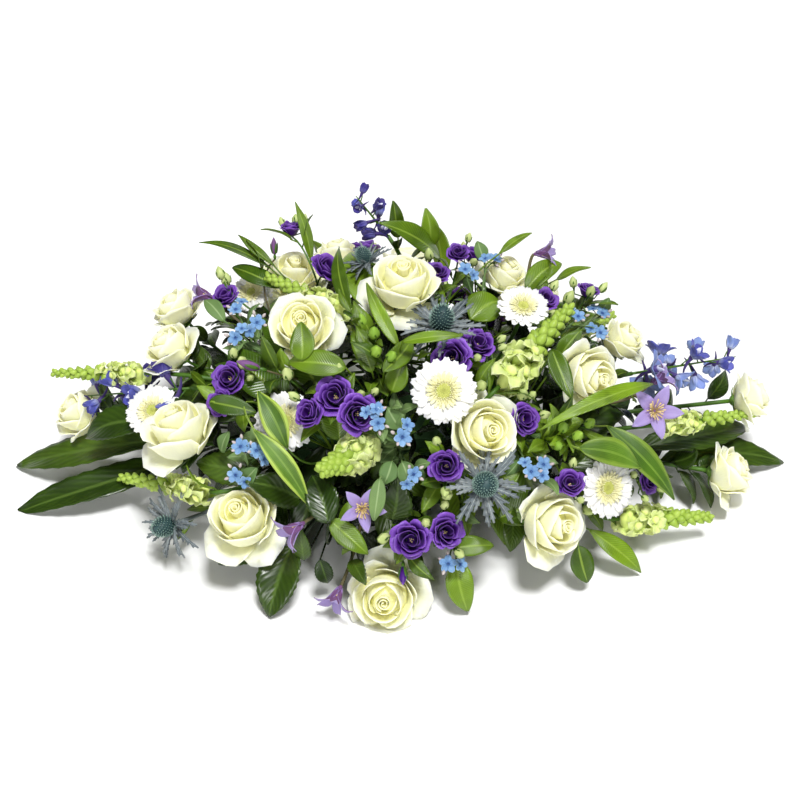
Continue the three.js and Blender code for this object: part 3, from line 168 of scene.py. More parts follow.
def skirt(count, ends, out, width=44):
    """Low leaves that hang over one side of the tray from beside the foam."""
    leaves = []
    for i in range(count):
        share = ends[0] + (ends[1] - ends[0]) * i / max(count - 1, 1)
        x, y = FOAM_LENGTH / 2, FOAM_WIDTH / 2
        start = [out[0] * (x + 14), share * y] if out[0] else [share * x, out[1] * (y + 14)]
        step = i % 2
        long = 78 + 16 * step
        fan = [out[0] * long, share * 50] if out[0] else [share * 55, out[1] * long]
        tip = ["at", start[0] + fan[0], start[1] + fan[1], 16 + 14 * step]
        base = ["at", *start, 84 + 10 * step]
        leaves.append([base, tip, width, ["to", out[0] * 0.5, out[1] * 0.5, 1], 0.12])
    return leaves


def of_kind(kind, plants):
    """Rows for plants of one kind, numbered from 1, that have only flowers."""
    return [[f"{kind}_{number:02d}", kind, flowers, []] for number, flowers in enumerate(plants, 1)]


# What stands in the foam. Each plant has a name, a look, its flowers, its leaves and the leaves inside the
# mass. A flower is its form (left out where it is the look's own), its place, its facing or the tip of its
# spike, and its size. A leaf is its outline (left out for a plain leaf), the places of its base and tip, its
# width, its facing and its arch.
PLANTS = [
  *of_kind("rose", [
    [[[178, 311, -6], [-0.5, 0.6, 0.45], 64],
     [[172, 350, 12], [-0.6, 0.45, 0.5], 68]],
    [[[80, 414, 6], [-0.7, 0.1, 0.6], 66]],
    [[[177, 430, 22], [-0.3, 0.25, 0.9], 86]],
    [[[243, 521, 20], [-0.35, -0.12, 0.92], 86]],
    [[[290, 278, -4], [0.05, 0.55, 0.8], 76],
     [[304, 328, 16], [-0.12, 0.12, 0.97], 78]],
    [[[403, 286, 18], [0, 0.42, 0.88], 84],
     [[334, 258, -28], [-0.1, 0.85, 0.3], 60]],
    [[[481, 429, 22], [0.2, 0, 0.97], 82]],
    [[[386, 595, 16], [0, -0.1, 0.97], 86]],
    [[[587, 376, 16], [0.42, -0.08, 0.88], 74],
     [[622, 342, -10], [0.35, 0.65, 0.4], 58]],
    [[[504, 276, -6], [0.3, 0.6, 0.6], 62]],
    [[[748, 399, 2], [0.88, 0.1, 0.25], 64]],
    [[[727, 474, "z", 44], [0.85, -0.15, 0.4], 70]],
    [[[549, 524, 20], [0.3, -0.08, 0.94], 82]],
    [[["at", -150, 172, 112], ["to", -0.3, 0.85, 0.5], 78],
     [["at", 8, 196, 138], ["to", 0, 0.8, 0.55], 82],
     [["at", 160, 165, 120], ["to", 0.35, 0.8, 0.5], 78]],
  ]),
  *of_kind("gerbera", [
    [[[158, 410, 6], [-0.2, 0.4, 0.88], 64]],
    [[[287, 421, 14], [-0.1, 0.1, 0.98], 68]],
    [[[446, 391, 20], [0, 0.05, 1], 72]],
    [[[606, 488, 20], [0.5, -0.05, 0.85], 70]],
    [[[523, 307, 8], [0.1, 0.6, 0.78], 60]],
    [[[252, 292, 4], [-0.3, 0.5, 0.8], 56],
     [["at", -78, 200, 110], ["to", -0.2, 0.85, 0.5], 68]],
  ]),
  *of_kind("lisianthus", [
    [[[291, 228, 0], [-0.1, 0.95, 0.3], 28],
     [[327, 268, 20], [0.5, 0.6, 0.6], 38],
     ["bud", [221, 275, 4], [-0.3, 0.9, 0.2], 17]],
    [[[233, 296, 6], [-0.3, 0.6, 0.7], 32],
     [[229, 379, 22], [-0.2, 0.2, 0.95], 36],
     [[221, 402, 20], [-0.4, 0.1, 0.9], 30],
     ["bud", [243, 364, 22], [-0.2, 0.6, 0.7], 18]],
    [[[307, 414, 26], [-0.5, 0.2, 0.8], 34],
     [[336, 397, 26], [-0.2, 0.3, 0.9], 42],
     [[357, 413, 32], [0.2, 0, 0.95], 42],
     ["bud", [288, 375, 30], [-0.2, 0.6, 0.7], 18]],
    [[[458, 253, 4], [0, 0.6, 0.8], 27],
     [[437, 273, 8], [0.1, 0.5, 0.8], 28]],
    [[[452, 360, 24], [-0.2, 0.1, 0.95], 42],
     [[478, 344, 18], [0.2, 0.4, 0.85], 36],
     ["bud", [481, 386, 26], [0.2, 0.3, 0.9], 17]],
    [[[545, 300, 8], [0.3, 0.5, 0.7], 30],
     [[588, 290, 0], [0.3, 0.85, 0.3], 27],
     ["bud", [568, 300, 8], [0.4, 0.8, 0.3], 20]],
    [[[521, 420, 22], [0.4, 0.1, 0.9], 34],
     [[446, 466, 24], [-0.1, 0, 1], 36],
     ["bud", [522, 395, 20], [0.2, 0.4, 0.8], 18],
     ["bud", [447, 494, 22], [0, -0.2, 0.95], 18]],
    [[[411, 540, 26], [-0.1, 0, 0.98], 42],
     [[446, 532, 24], [0.3, 0.1, 0.9], 38],
     ["slim_bud", [403, 573, 40], [0, -0.7, 0.6], 30]],
    [[[570, 484, 20], [0.1, 0.4, 0.9], 32],
     [[648, 480, 10], [0.6, 0.1, 0.8], 28],
     ["bud", [590, 508, 18], [0.2, -0.2, 0.9], 18]],
    [[["at", -110, 210, 70], ["to", -0.3, 0.9, 0.3], 40],
     [["at", -44, 205, 165], ["to", -0.1, 0.7, 0.7], 38],
     [["at", 78, 205, 92], ["to", 0.2, 0.9, 0.4], 42],
     [["at", 112, 192, 68], ["to", 0.3, 0.9, 0.3], 38],
     [["at", 88, 165, 186], ["to", 0.2, 0.6, 0.8], 36]],
  ]),
  *of_kind("snapdragon", [
    [[[338, 311, 14], [263, 277, 26], 30]],
    [[[140, 373, 4], [51, 373, 0], 27]],
    [[[205, 491, 16], [120, 477, "z", 42], 31]],
    [[[503, 382, 16], [570, 308, 28], 42]],
    [[[664, 424, 12], [753, 414, 8], 28]],
    [[[624, 519, "z", 52], [711, 517, "z", 36], 34]],
    [[[368, 448, 2], [322, 470, 46], 42]],
    [[["at", -60, 165, 60], ["at", -90, 262, 34], 36],
     [["at", 196, 128, 96], ["at", 262, 190, 76], 32]],
  ]),
  *of_kind("delphinium", [
    [[[388, 236, -6], [356, 196, 6], 30]],
    [[[188, 392, 4], [76, 400, 8], 36]],
    [[[632, 375, 6], [736, 358, 6], 38]],
  ]),
  ["tweedia_01", "tweedia", [
    [[236, 310, 24], [-0.2, 0.5, 0.8], 18],
    [[236, 338, 28], [-0.3, 0.1, 0.9], 18],
    [[257, 323, 30], [0.1, 0.3, 0.9], 18],
    [[241, 447, 34], [-0.2, 0.3, 0.9], 19],
    [[256, 451, 36], [0.3, 0.3, 0.9], 18],
    [[236, 475, 34], [-0.3, -0.1, 0.9], 18]], [
    [[222, 320, 6], [206, 300, 10], 18, [-0.2, 0.5, 0.8], 0.1],
    [[222, 452, 12], [228, 432, 20], 16, [-0.2, 0.5, 0.8], 0.1],
    [[244, 480, 22], [256, 468, 28], 18, [0.2, 0.3, 0.9], 0.1]]],
  ["tweedia_02", "tweedia", [
    [[376, 410, 40], [0.1, 0.5, 0.9], 17],
    [[378, 423, 40], [0, -0.1, 1], 17],
    [[402, 437, 34], [0.3, 0, 0.9], 20],
    [[413, 474, 28], [0.4, -0.2, 0.9], 18]], [
    [[400, 428, 20], [388, 408, 28], 20, [-0.1, 0.4, 0.9], 0.1],
    [[392, 462, 20], [384, 484, 26], 20, [-0.2, 0, 1], 0.1],
    [[402, 462, 20], [412, 488, 24], 20, [0.2, 0, 1], 0.1],
    [[380, 478, 24], [374, 520, 30], 17, [0, 0, 1], 0.15]]],
  ["tweedia_03", "tweedia", [
    [[465, 270, 16], [0.1, 0.5, 0.8], 17],
    [[496, 262, 8], [0.3, 0.7, 0.6], 18],
    [[578, 317, 16], [0.1, 0.5, 0.8], 17],
    [[602, 314, 14], [0.3, 0.6, 0.7], 18],
    [[600, 333, 18], [0.3, 0.2, 0.9], 17],
    [[531, 472, 24], [0.1, 0.3, 0.9], 18],
    [[543, 465, 22], [0.3, 0.4, 0.8], 18],
    [[448, 564, 26], [0.1, 0.1, 1], 20]], [
    [[484, 262, 0], [478, 240, 6], 16, [0, 0.5, 0.8], 0.1],
    [[600, 312, 4], [609, 298, 8], 15, [0.3, 0.5, 0.8], 0.1],
    [[545, 482, 16], [556, 492, 20], 14, [0.2, 0.3, 0.9], 0.1]]],

  *of_kind("clematis", [
    [["bell", [212, 297, 6], [-0.95, 0.25, 0.2], 60],
     ["slim_bud", [252, 366, 34], [-0.95, 0.3, 0.2], 34],
     ["slim_bud", [275, 250, 2], [-0.05, 0.95, 0.2], 26]],
    [["bell", [302, 524, 34], [-0.8, -0.55, 0.3], 66],
     ["bell", [340, 588, 30], [-0.4, -0.85, 0.35], 62],
     ["open", [362, 508, 28], [0.1, -0.1, 0.95], 50]],
    [["open", [654, 411, 20], [0.1, 0, 1], 62],
     ["bell", [652, 381, 14], [0.9, 0.45, 0.3], 58],
     ["bell", [536, 254, 2], [0.95, 0.1, 0.3], 56]],
  ]),
  *of_kind("sea_holly", [
    [[[172, 524, "z", 60], [-0.6, -0.15, 0.75], 74]],
    [[[484, 484, 30], [0.05, 0.05, 1], 84],
     [[441, 327, 14], [0.05, 0.6, 0.75], 84],
     [[367, 262, 0], [-0.4, 0.7, 0.5], 56]],
  ]),
  ["alstroemeria_01", "green", [
    ["bud", [362, 322, 24], [-0.1, 0.7, 0.7], 18],
    ["bud", [374, 334, 28], [0, 0.6, 0.8], 18],
    ["bud", [376, 352, 28], [0.1, 0.4, 0.9], 18],
    ["bud", [391, 357, 26], [0.3, 0.4, 0.8], 17]], [
    ["long", [352, 318, 20], [337, 244, 24], 17, [-0.3, 0.2, 0.9], 0.05],
    [[302, 360, 38], [302, 323, 46], 26, [-0.1, 0.2, 1], 0.05],
    [[346, 368, 32], [288, 362, 40], 28, [0, 0.2, 1], 0.08],
    [[398, 345, 24], [366, 284, 34], 15, [-0.3, 0.2, 0.9], 0.06],
    [[402, 342, 30], [462, 335, 34], 13, [0, 0.4, 0.9], 0.08]], [
    [[372, 372, 6], [352, 330, 20], 22, [-0.2, 0.3, 0.9], 0.08],
    [[384, 372, 6], [412, 338, 16], 22, [0.2, 0.3, 0.9], 0.08],
    [[392, 392, -6], [404, 360, 8], 24, [0.1, 0.3, 0.9], 0.08]]],

  ["foliage_left", "dark", [], [
    ["broad", [165, 440, "z", 62], [14, 463, "z", 6], 50, ["to", -0.15, -0.15, 1], 0.07],
    ["broad", [170, 462, "z", 40], [16, 509, "z", 5], 44, ["to", -0.1, -0.3, 1], 0.06],
    [[152, 424, 0], [86, 436, 10], 46, [-0.2, 0.5, 0.8], 0.1],
    *skirt(2, [-0.7, 0.7], [-1, 0])], [
    [[222, 440, -34], [140, 400, -22], 46, [-0.2, 0.4, 0.9], 0.08],
    [[236, 420, -34], [176, 366, -26], 46, [-0.2, 0.4, 0.9], 0.08],
    [[262, 470, -24], [196, 462, -8], 40, [-0.2, 0.2, 0.95], 0.08]]],
  ["foliage_right", "dark", [], [
    ["broad", [640, 448, "z", 66], [750, 424, "z", 40], 44, ["to", 0.1, -0.15, 1], 0.06],
    ["broad", [660, 462, "z", 34], [786, 459, "z", 8], 42, ["to", 0.1, -0.3, 1], 0.06],
    *skirt(2, [-0.7, 0.7], [1, 0])], [
    [[560, 440, -34], [632, 396, -24], 46, [0.2, 0.4, 0.9], 0.08],
    [[548, 420, -36], [600, 352, -28], 46, [0.2, 0.4, 0.9], 0.08],
    [[566, 470, -26], [640, 440, -14], 42, [0.2, 0.2, 0.95], 0.08]]],
  ["foliage_top", "green", [], [
    ["long", [272, 270, -12], [198, 239, -2], 13, [0, 0.7, 0.7], 0.06],
    ["long", [276, 268, -14], [238, 233, -4], 12, [0.1, 0.6, 0.7], 0.05],
    [[280, 288, -20], [232, 266, -4], 24, [-0.1, 0.6, 0.8], 0.1],
    ["long", [313, 264, -12], [296, 203, -2], 13, [0, 0.3, 0.9], 0.05],
    [[398, 236, -16], [394, 200, -6], 20, [0.2, 0.3, 0.9], 0.08],
    [[440, 258, -4], [382, 224, 4], 32, [0, 0.5, 0.8], 0.1],
    [[430, 248, -12], [426, 209, -6], 22, [0, 0.3, 0.9], 0.08],
    ["long", [498, 256, -12], [532, 231, -4], 12, [0, 0.7, 0.7], 0.06],
    [[526, 290, -10], [562, 262, 0], 26, [0.2, 0.6, 0.8], 0.1],
    [[556, 280, -8], [590, 266, 0], 14, [0.2, 0.7, 0.6], 0.06]], [
    [[330, 330, -44], [270, 300, -30], 40, [-0.1, 0.5, 0.8], 0.08],
    [[372, 310, -44], [352, 250, -34], 40, [0, 0.5, 0.8], 0.08],
    [[440, 320, -44], [414, 262, -34], 40, [0, 0.5, 0.8], 0.08],
    [[470, 320, -44], [500, 300, -30], 40, [0.2, 0.5, 0.8], 0.08]]],
  ["foliage_middle", "green", [], [
    ["long", [287, 448, 30], [257, 391, 42], 27, [-0.2, 0.1, 1], 0.06],
    ["long", [255, 430, 36], [310, 508, 44], 22, [0.1, 0, 1], 0.05],
    [[212, 402, 24], [256, 412, 32], 22, [-0.1, 0.3, 0.95], 0.06],
    [[330, 520, 26], [368, 554, 34], 24, [0.1, 0.1, 1], 0.08]], [
    [[290, 400, -30], [232, 350, -20], 44, [-0.2, 0.4, 0.9], 0.08],
    [[320, 390, -36], [262, 322, -28], 44, [-0.2, 0.4, 0.9], 0.08],
    [[340, 440, -34], [330, 380, -22], 40, [0, 0.2, 0.95], 0.08]]],
  ["foliage_side", "green", [
    ["bud", [563, 428, 22], [0.1, 0.5, 0.85], 17],
    ["bud", [577, 436, 22], [0.4, 0.3, 0.85], 17],
    ["bud", [589, 424, 18], [0.5, 0.5, 0.7], 16],
    ["bud", [558, 446, 22], [-0.1, 0.1, 0.95], 15]], [
    ["long", [608, 426, 22], [672, 498, 22], 28, [0.2, 0.2, 0.95], 0.08],
    [[578, 448, 18], [640, 466, 26], 30, [0.2, 0.3, 0.9], 0.08],
    ["long", [648, 384, 18], [540, 426, 30], 18, [0.1, 0.5, 0.9], 0.12],
    [[552, 350, 40], [572, 398, 44], 22, [0.1, 0.1, 1], 0.06],
    [[560, 360, 10], [580, 330, 16], 20, [0.2, 0.4, 0.9], 0.08]], [
    [[500, 400, -34], [548, 336, -28], 44, [0.2, 0.4, 0.9], 0.08],
    [[520, 450, -26], [580, 420, -8], 42, [0.2, 0.3, 0.9], 0.08],
    [[470, 400, -34], [462, 330, -26], 42, [0, 0.4, 0.9], 0.08]]],
  ["foliage_front", "dark", [], [
    ["broad", [292, 546, "z", 56], [268, 616, "z", 8], 48, [-0.2, 0.3, 0.9], 0.08],
    [[282, 545, "z", 50], [217, 563, "z", 22], 26, [-0.2, 0.4, 0.9], 0.06],
    [[304, 560, 10], [300, 530, 20], 20, [-0.1, 0.2, 1], 0.06],
    [[320, 560, 16], [328, 584, 16], 20, [0, 0, 1], 0.08],
    [[352, 560, 14], [366, 580, 12], 18, [0.1, 0, 1], 0.08],
    *skirt(4, [-0.95, -0.1], [0, -1])], [
    [[300, 500, -16], [250, 480, 0], 38, [-0.2, 0.2, 0.95], 0.08],
    [[330, 520, -10], [312, 474, 4], 36, [0, 0.1, 1], 0.08],
    [[392, 520, -10], [398, 478, 6], 36, [0, 0.1, 1], 0.08]]],
  ["foliage_corner", "green", [], [
    [[456, 560, "z", 60], [468, 612, "z", 10], 30, [0.1, 0.1, 1], 0.08],
    [[452, 548, 18], [494, 545, 22], 22, [0.1, 0.3, 1], 0.08],
    [[578, 546, "z", 56], [588, 583, "z", 18], 26, [0.1, 0.1, 1], 0.06],
    ["long", [590, 530, "z", 56], [643, 572, "z", 10], 24, [0.2, 0.3, 0.9], 0.06],
    *skirt(4, [0.1, 0.95], [0, -1])], [
    [[470, 500, -14], [520, 470, 4], 38, [0.2, 0.2, 0.95], 0.08],
    [[500, 520, -10], [560, 500, 0], 36, [0.2, 0.2, 0.95], 0.08]]],
  ["foliage_back", "green", [], [
    ["broad", ["at", -95, 120, 60], ["at", -190, 232, 12], 44, ["to", -0.2, 0.3, 0.9], 0.1],
    ["broad", ["at", 90, 120, 60], ["at", 175, 236, 12], 44, ["to", 0.2, 0.3, 0.9], 0.1],
    ["long", ["at", -10, 130, 60], ["at", -20, 262, 16], 38, ["to", 0, 0.3, 0.9], 0.1],
    [["at", -170, 110, 110], ["at", -235, 150, 96], 30, ["to", -0.3, 0.4, 0.8], 0.1],
    [["at", 190, 90, 120], ["at", 245, 138, 118], 30, ["to", 0.3, 0.4, 0.8], 0.1],
    [["at", -80, 150, 150], ["at", -104, 190, 190], 28, ["to", -0.1, 0.8, 0.5], 0.1],
    [["at", 50, 160, 160], ["at", 40, 196, 210], 26, ["to", 0.1, 0.8, 0.5], 0.1],
    *skirt(4, [-0.95, 0.95], [0, 1])], [
    [["at", -40, 96, 120], ["at", -120, 140, 176], 42, ["to", -0.2, 0.6, 0.8], 0.08],
    [["at", 30, 100, 130], ["at", 100, 150, 176], 42, ["to", 0.2, 0.6, 0.8], 0.08],
    [["at", -90, 90, 100], ["at", -190, 120, 120], 42, ["to", -0.3, 0.5, 0.8], 0.08],
    [["at", 90, 90, 100], ["at", 196, 124, 126], 42, ["to", 0.3, 0.5, 0.8], 0.08]]],
]


def named(row, form):
    """The row with its form in front, which is left out where it is the usual one."""
    return row if isinstance(row[0], str) else [form, *row]


class Plant:
    """A plant, with its flowers, blades, forks and root once they are placed."""

    def __init__(self, name, look, flowers, leaves, inner=()):
        self.name, self.look = name, look
        self.flowers = [named(flower, look) for flower in flowers]
        self.leaves = [named(leaf, "leaf") for leaf in leaves]
        self.inner = [named(leaf, "leaf") for leaf in inner]
        self.blooms, self.blades, self.forks, self.root = [], [], [], None


class Bloom:
    """A flower's place, its axis and the room that it needs."""

    def __init__(self, form, place, face, size, spin):
        self.form, self.size, self.spin = form, size, spin
        self.at = spot(place)
        if form in SPIKES:
            self.axis = unit(spot(face) - self.at)
            self.length = float(np.linalg.norm(spot(face) - self.at))
        else:
            self.axis, self.length = facing(face), 0
        self.joint, self.balls, self.guards = room_of(form, size / 2, self.length)
        self.reach = max(abs(s) + r for s, r in self.balls)
        self.stem = None


# Flowers that would share room move apart in small steps, mostly along the line of sight
PUSH_STEP, PUSH_ACROSS, PUSH_ALONG = 1.6, 0.35, 0.8
PUSH_ROUNDS = 40


def push_apart(a, b):
    for p_height, p_radius in a.balls:
        for q_height, q_radius in b.balls:
            gap = (a.at + a.axis * p_height) - (b.at + b.axis * q_height)
            if np.linalg.norm(gap) >= p_radius + q_radius:
                continue
            near = float(gap @ TO_EYE)
            along = -PUSH_ALONG if near < 0 else PUSH_ALONG
            push = unit(gap - TO_EYE * near) * PUSH_ACROSS + TO_EYE * along
            share = 0.2 if a.size > 2 * b.size else 0.8 if b.size > 2 * a.size else 0.5
            a.at = a.at + push * (PUSH_STEP * share)
            b.at = b.at - push * (PUSH_STEP * (1 - share))


def arrange():
    """Places every flower, clear of the others."""
    plants = [Plant(*row) for row in PLANTS]
    blooms = []
    for owner, plant in enumerate(plants):
        plant.blooms = [Bloom(*flower, 1.7 * i + 0.9 * owner) for i, flower in enumerate(plant.flowers)]
        blooms += plant.blooms
    for _ in range(PUSH_ROUNDS):
        for i, a in enumerate(blooms):
            for b in blooms[i + 1:]:
                far = a.reach + b.reach
                dx, dy, dz = a.at[0] - b.at[0], a.at[1] - b.at[1], a.at[2] - b.at[2]
                if dx * dx + dy * dy + dz * dz < far * far:
                    push_apart(a, b)
    return plants


def space_between(a, b, c, d):
    """The shortest distances between pieces a to b, one a row, and pieces c to d, one a column."""
    u, v = (b - a)[:, None, :], (d - c)[None, :, :]
    w = a[:, None, :] - c[None, :, :]
    uu, uv, vv = (u * u).sum(2), (u * v).sum(2), (v * v).sum(2)
    uw, vw = (u * w).sum(2), (v * w).sum(2)
    across = uu * vv - uv * uv
    s = np.where(across > 1e-9, np.clip((uv * vw - vv * uw) / np.where(across > 1e-9, across, 1), 0, 1), 0)
    t = np.where(vv > 0, np.clip((uv * s + vw) / np.where(vv > 0, vv, 1), 0, 1), 0)
    s = np.where(uu > 0, np.clip((uv * t - uw) / np.where(uu > 0, uu, 1), 0, 1), 0)
    return np.linalg.norm(w + u * s[:, :, None] - v * t[:, :, None], axis=2)


def bow(start, control, end, steps):
    """Points along a curve from start to end that the control draws to its side."""
    t = np.linspace(0, 1, steps + 1)[:, None]
    return start * (1 - t) ** 2 + control * (2 * t * (1 - t)) + end * t ** 2


# What a stem keeps clear of the table, the tray's rim and the foam
TABLE_SPACE, RIM_SPACE, FOAM_SPACE = 1, 3, 1.6
RING_GUARDS = 6
BATCH = 12


class Neighbours:
    """Everything that a new stem keeps clear of: the tray's rim, the flowers and what is laid already."""

    def __init__(self, plants):
        x, y, z = TRAY_LENGTH / 2, TRAY_WIDTH / 2, TRAY_HEIGHT
        corners = np.array([[-x, -y, z], [x, -y, z], [-x, y, z], [x, y, z]], float)
        self.rim = corners[[0, 2, 0, 1]], corners[[1, 3, 2, 3]]
        self.laid = []
        centres, radii, owners = [], [], []
        for owner, plant in enumerate(plants):
            for bloom in plant.blooms:
                turn, origin = standing(bloom.at, bloom.axis)
                for height, out, r in bloom.guards:
                    count = RING_GUARDS if out else 1
                    for j in range(count):
                        guard = about(2 * pi * j / count, out, height)
                        centres.append(turn @ guard + origin)
                        radii.append(r)
                        owners.append(owner)
        self.centres, self.radii, self.owners = np.array(centres), np.array(radii), np.array(owners)

    def lay(self, owner, radius, start, end):
        self.laid.append((owner, radius, start, end))

    def others(self, owner):
        """The starts, ends and radii of what is laid for other plants."""
        rows = [row[1:] for row in self.laid if row[0] != owner]
        if not rows:
            return np.zeros((0, 3)), np.zeros((0, 3)), np.zeros(0)
        radii, starts, ends = zip(*rows)
        return np.array(starts), np.array(ends), np.array(radii)

    def room(self, ways, radius, owner, branch):
        """The least room round each way, a row of points."""
        ways = np.array(ways)
        count, steps = ways.shape[0], ways.shape[1] - 1
        starts, ends = ways[:, :-1].reshape(-1, 3), ways[:, 1:].reshape(-1, 3)
        least = np.minimum(starts[:, 2], ends[:, 2]) - radius - TABLE_SPACE
        least = np.minimum(least, space_between(starts, ends, *self.rim).min(1) - radius - RIM_SPACE)
        mask = self.owners != owner
        balls = self.centres[mask]
        space = space_between(starts, ends, balls, balls) - self.radii[mask]
        least = np.minimum(least, space.min(1) - radius)
        low, high, laid_radius = self.others(owner)
        if len(low):
            space = space_between(starts, ends, low, high) - laid_radius - radius - STEM_SPACE
            least = np.minimum(least, space.min(1))
        if branch:
            t = np.arange(0.15, 1.0 + 1e-9, 0.17)[None, :, None]
            inner = starts[:, None, :] * (1 - t) + ends[:, None, :] * t
            half = np.array([FOAM_LENGTH / 2, FOAM_WIDTH / 2])
            out = np.maximum((np.abs(inner[..., :2]) - half).max(2), inner[..., 2] - FOAM_TOP)
            least = np.minimum(least, out.min(1) - radius - FOAM_SPACE)
        return least.reshape(count, steps).min(1)

    def choose(self, ways, radius, owner, branch=False):
        """The first way with room, or else the one with most. A way is its points and its middle control."""
        best, best_room = None, -inf
        for i in range(0, len(ways), BATCH):
            some = ways[i:i + BATCH]
            by_length = {}
            for k, (points, _) in enumerate(some):
                by_length.setdefault(len(points), []).append(k)
            rooms = np.zeros(len(some))
            for ks in by_length.values():
                rooms[ks] = self.room([some[k][0] for k in ks], radius, owner, branch)
            for k, room in enumerate(rooms):
                if room > best_room:
                    best, best_room = some[k], room
                if room >= 0:
                    break
            if best_room >= 0:
                break
        for start, end in zip(best[0][:-1], best[0][1:]):
            self.lay(owner, radius, start, end)
        return best


SHIFTS = (0, 5, -5, 10, -10, 15, -15, 20, -20, 26, -26, 32, -32)
TILTS = (0, 10, -10, 20, -20)


def lift(leaf, owner, near):
    """A leaf that would run through a flower, a leaf or a stem moves and tilts along the line of sight, until
    it passes in front or behind."""
    base, tip, width = spot(leaf[1]), spot(leaf[2]), leaf[3]
    mask = near.owners != owner
    balls, radii = near.centres[mask], near.radii[mask]
    low, high, _ = near.others(owner)
    best, best_room = None, -inf
    for way in SHIFTS:
        for turn in TILTS:
            ends = base + TO_EYE * (way + turn), tip + TO_EYE * (way - turn)
            start, end = ends[0][None], ends[1][None]
            space = space_between(start, end, balls, balls)[0] - radii - 0.12 * width - 1.5
            room = min(0, space.min(), min(ends[0][2], ends[1][2]) - 5)
            if len(low):
                room = min(room, (space_between(start, end, low, high)[0] - 7).min())
            if best is None or room > best_room + 0.5:
                best, best_room = ends, room
            if room == 0:
                break
        if best_room == 0:
            break
    near.lay(owner, 0.16 * width, *best)
    return best


def blade_of(leaf, ends):
    """A leaf's blade, the way that its stalk comes in and the stalk's radius."""
    form, _, _, width, face, arch = leaf
    start, tip = ends
    normal, along = facing(face), unit(tip - start)
    up = unit(normal - along * (normal @ along))
    blade = {"form": form, "base": start, "tip": tip, "width": width, "normal": normal, "arch": arch}
    return blade, unit(along + up * (4 * arch)), 1.9 if width > 30 else 1.3


# Ever wider tries round a root, how near the foam's sides a foot may stand, and how low a stem may bend
OFFSETS = [np.array([3.3 * sqrt(k) * cos(TURN * k), 2.6 * sqrt(k) * sin(TURN * k), 0]) for k in range(60)]
FOOT_LIMITS = np.array([FOAM_LENGTH / 2 - 9, FOAM_WIDTH / 2 - 9])
LOWEST_BEND, BEND_STEP = 14, 6
SINGLE_RADIUS, MAIN_RADIUS, FORK_STEP = 2.7, 2.4, 3


def branch_to(to, axis, radius, small, fork, owner, near):
    """The middle control of a branch from a fork to a flower or a leaf."""
    line = to - fork
    side = unit(np.cross(line, UP))
    over = unit(np.cross(side, line))
    ways = []
    for k, offset in enumerate(OFFSETS):
        for reach in (0.32, 0.5, 0.18):
            control = to - axis * (reach * np.linalg.norm(line))
            control = control + side * (offset[0] * 2) + over * (abs(offset[1]) * 2.4)
            control[2] = max(control[2], LOWEST_BEND + k % 3 * BEND_STEP)
            straight = k == 0 and small
            middle = (fork + to) / 2 if straight else control
            ways.append((bow(fork, control, to, 1 if straight else 2), middle))
    return near.choose(ways, radius, owner, True)[1]


def foot_of(root, offset):
    foot = root + offset
    foot[:2] = np.clip(foot[:2], -FOOT_LIMITS, FOOT_LIMITS)
    return foot


def run_single_stem(bloom, to, root, owner, near):
    """A stem from the foam to the plant's only flower."""
    ways = []
    for k, offset in enumerate(OFFSETS):
        for reach in (0.42, 0.25, 0.6):
            foot = foot_of(root, offset)
            control = to - bloom.axis * (reach * np.linalg.norm(to - foot))
            control[2] = max(control[2], LOWEST_BEND + k % 3 * BEND_STEP)
            ways.append((bow(foot, control, to, 2), control))
    points, control = near.choose(ways, SINGLE_RADIUS, owner)
    bloom.stem = (points[0], control, points[-1], SINGLE_RADIUS, 2.5)


def main_stem(centre, root, count, owner, near):
    """The foot and top of a straight stem that leaves the foam and then forks."""
    ways = []
    for offset in OFFSETS:
        for share in (0.06, 0.14, 0.24):
            foot = foot_of(root, offset)
            line = centre - foot
            clear = inf
            for k, side in enumerate((FOAM_LENGTH / 2 + 7, FOAM_WIDTH / 2 + 7, FOAM_TOP + 7)):
                if line[k] > 0:
                    clear = min(clear, (side - foot[k]) / line[k])
                elif k < 2 and line[k] < 0:
                    clear = min(clear, (-side - foot[k]) / line[k])
            reach = np.linalg.norm(line)
            out = clear * reach + 6 + FORK_STEP * count
            top = foot + line * min(out / reach + share, 0.9)
            ways.append((np.array([foot, top]), None))
    return near.choose(ways, MAIN_RADIUS, owner)[0]


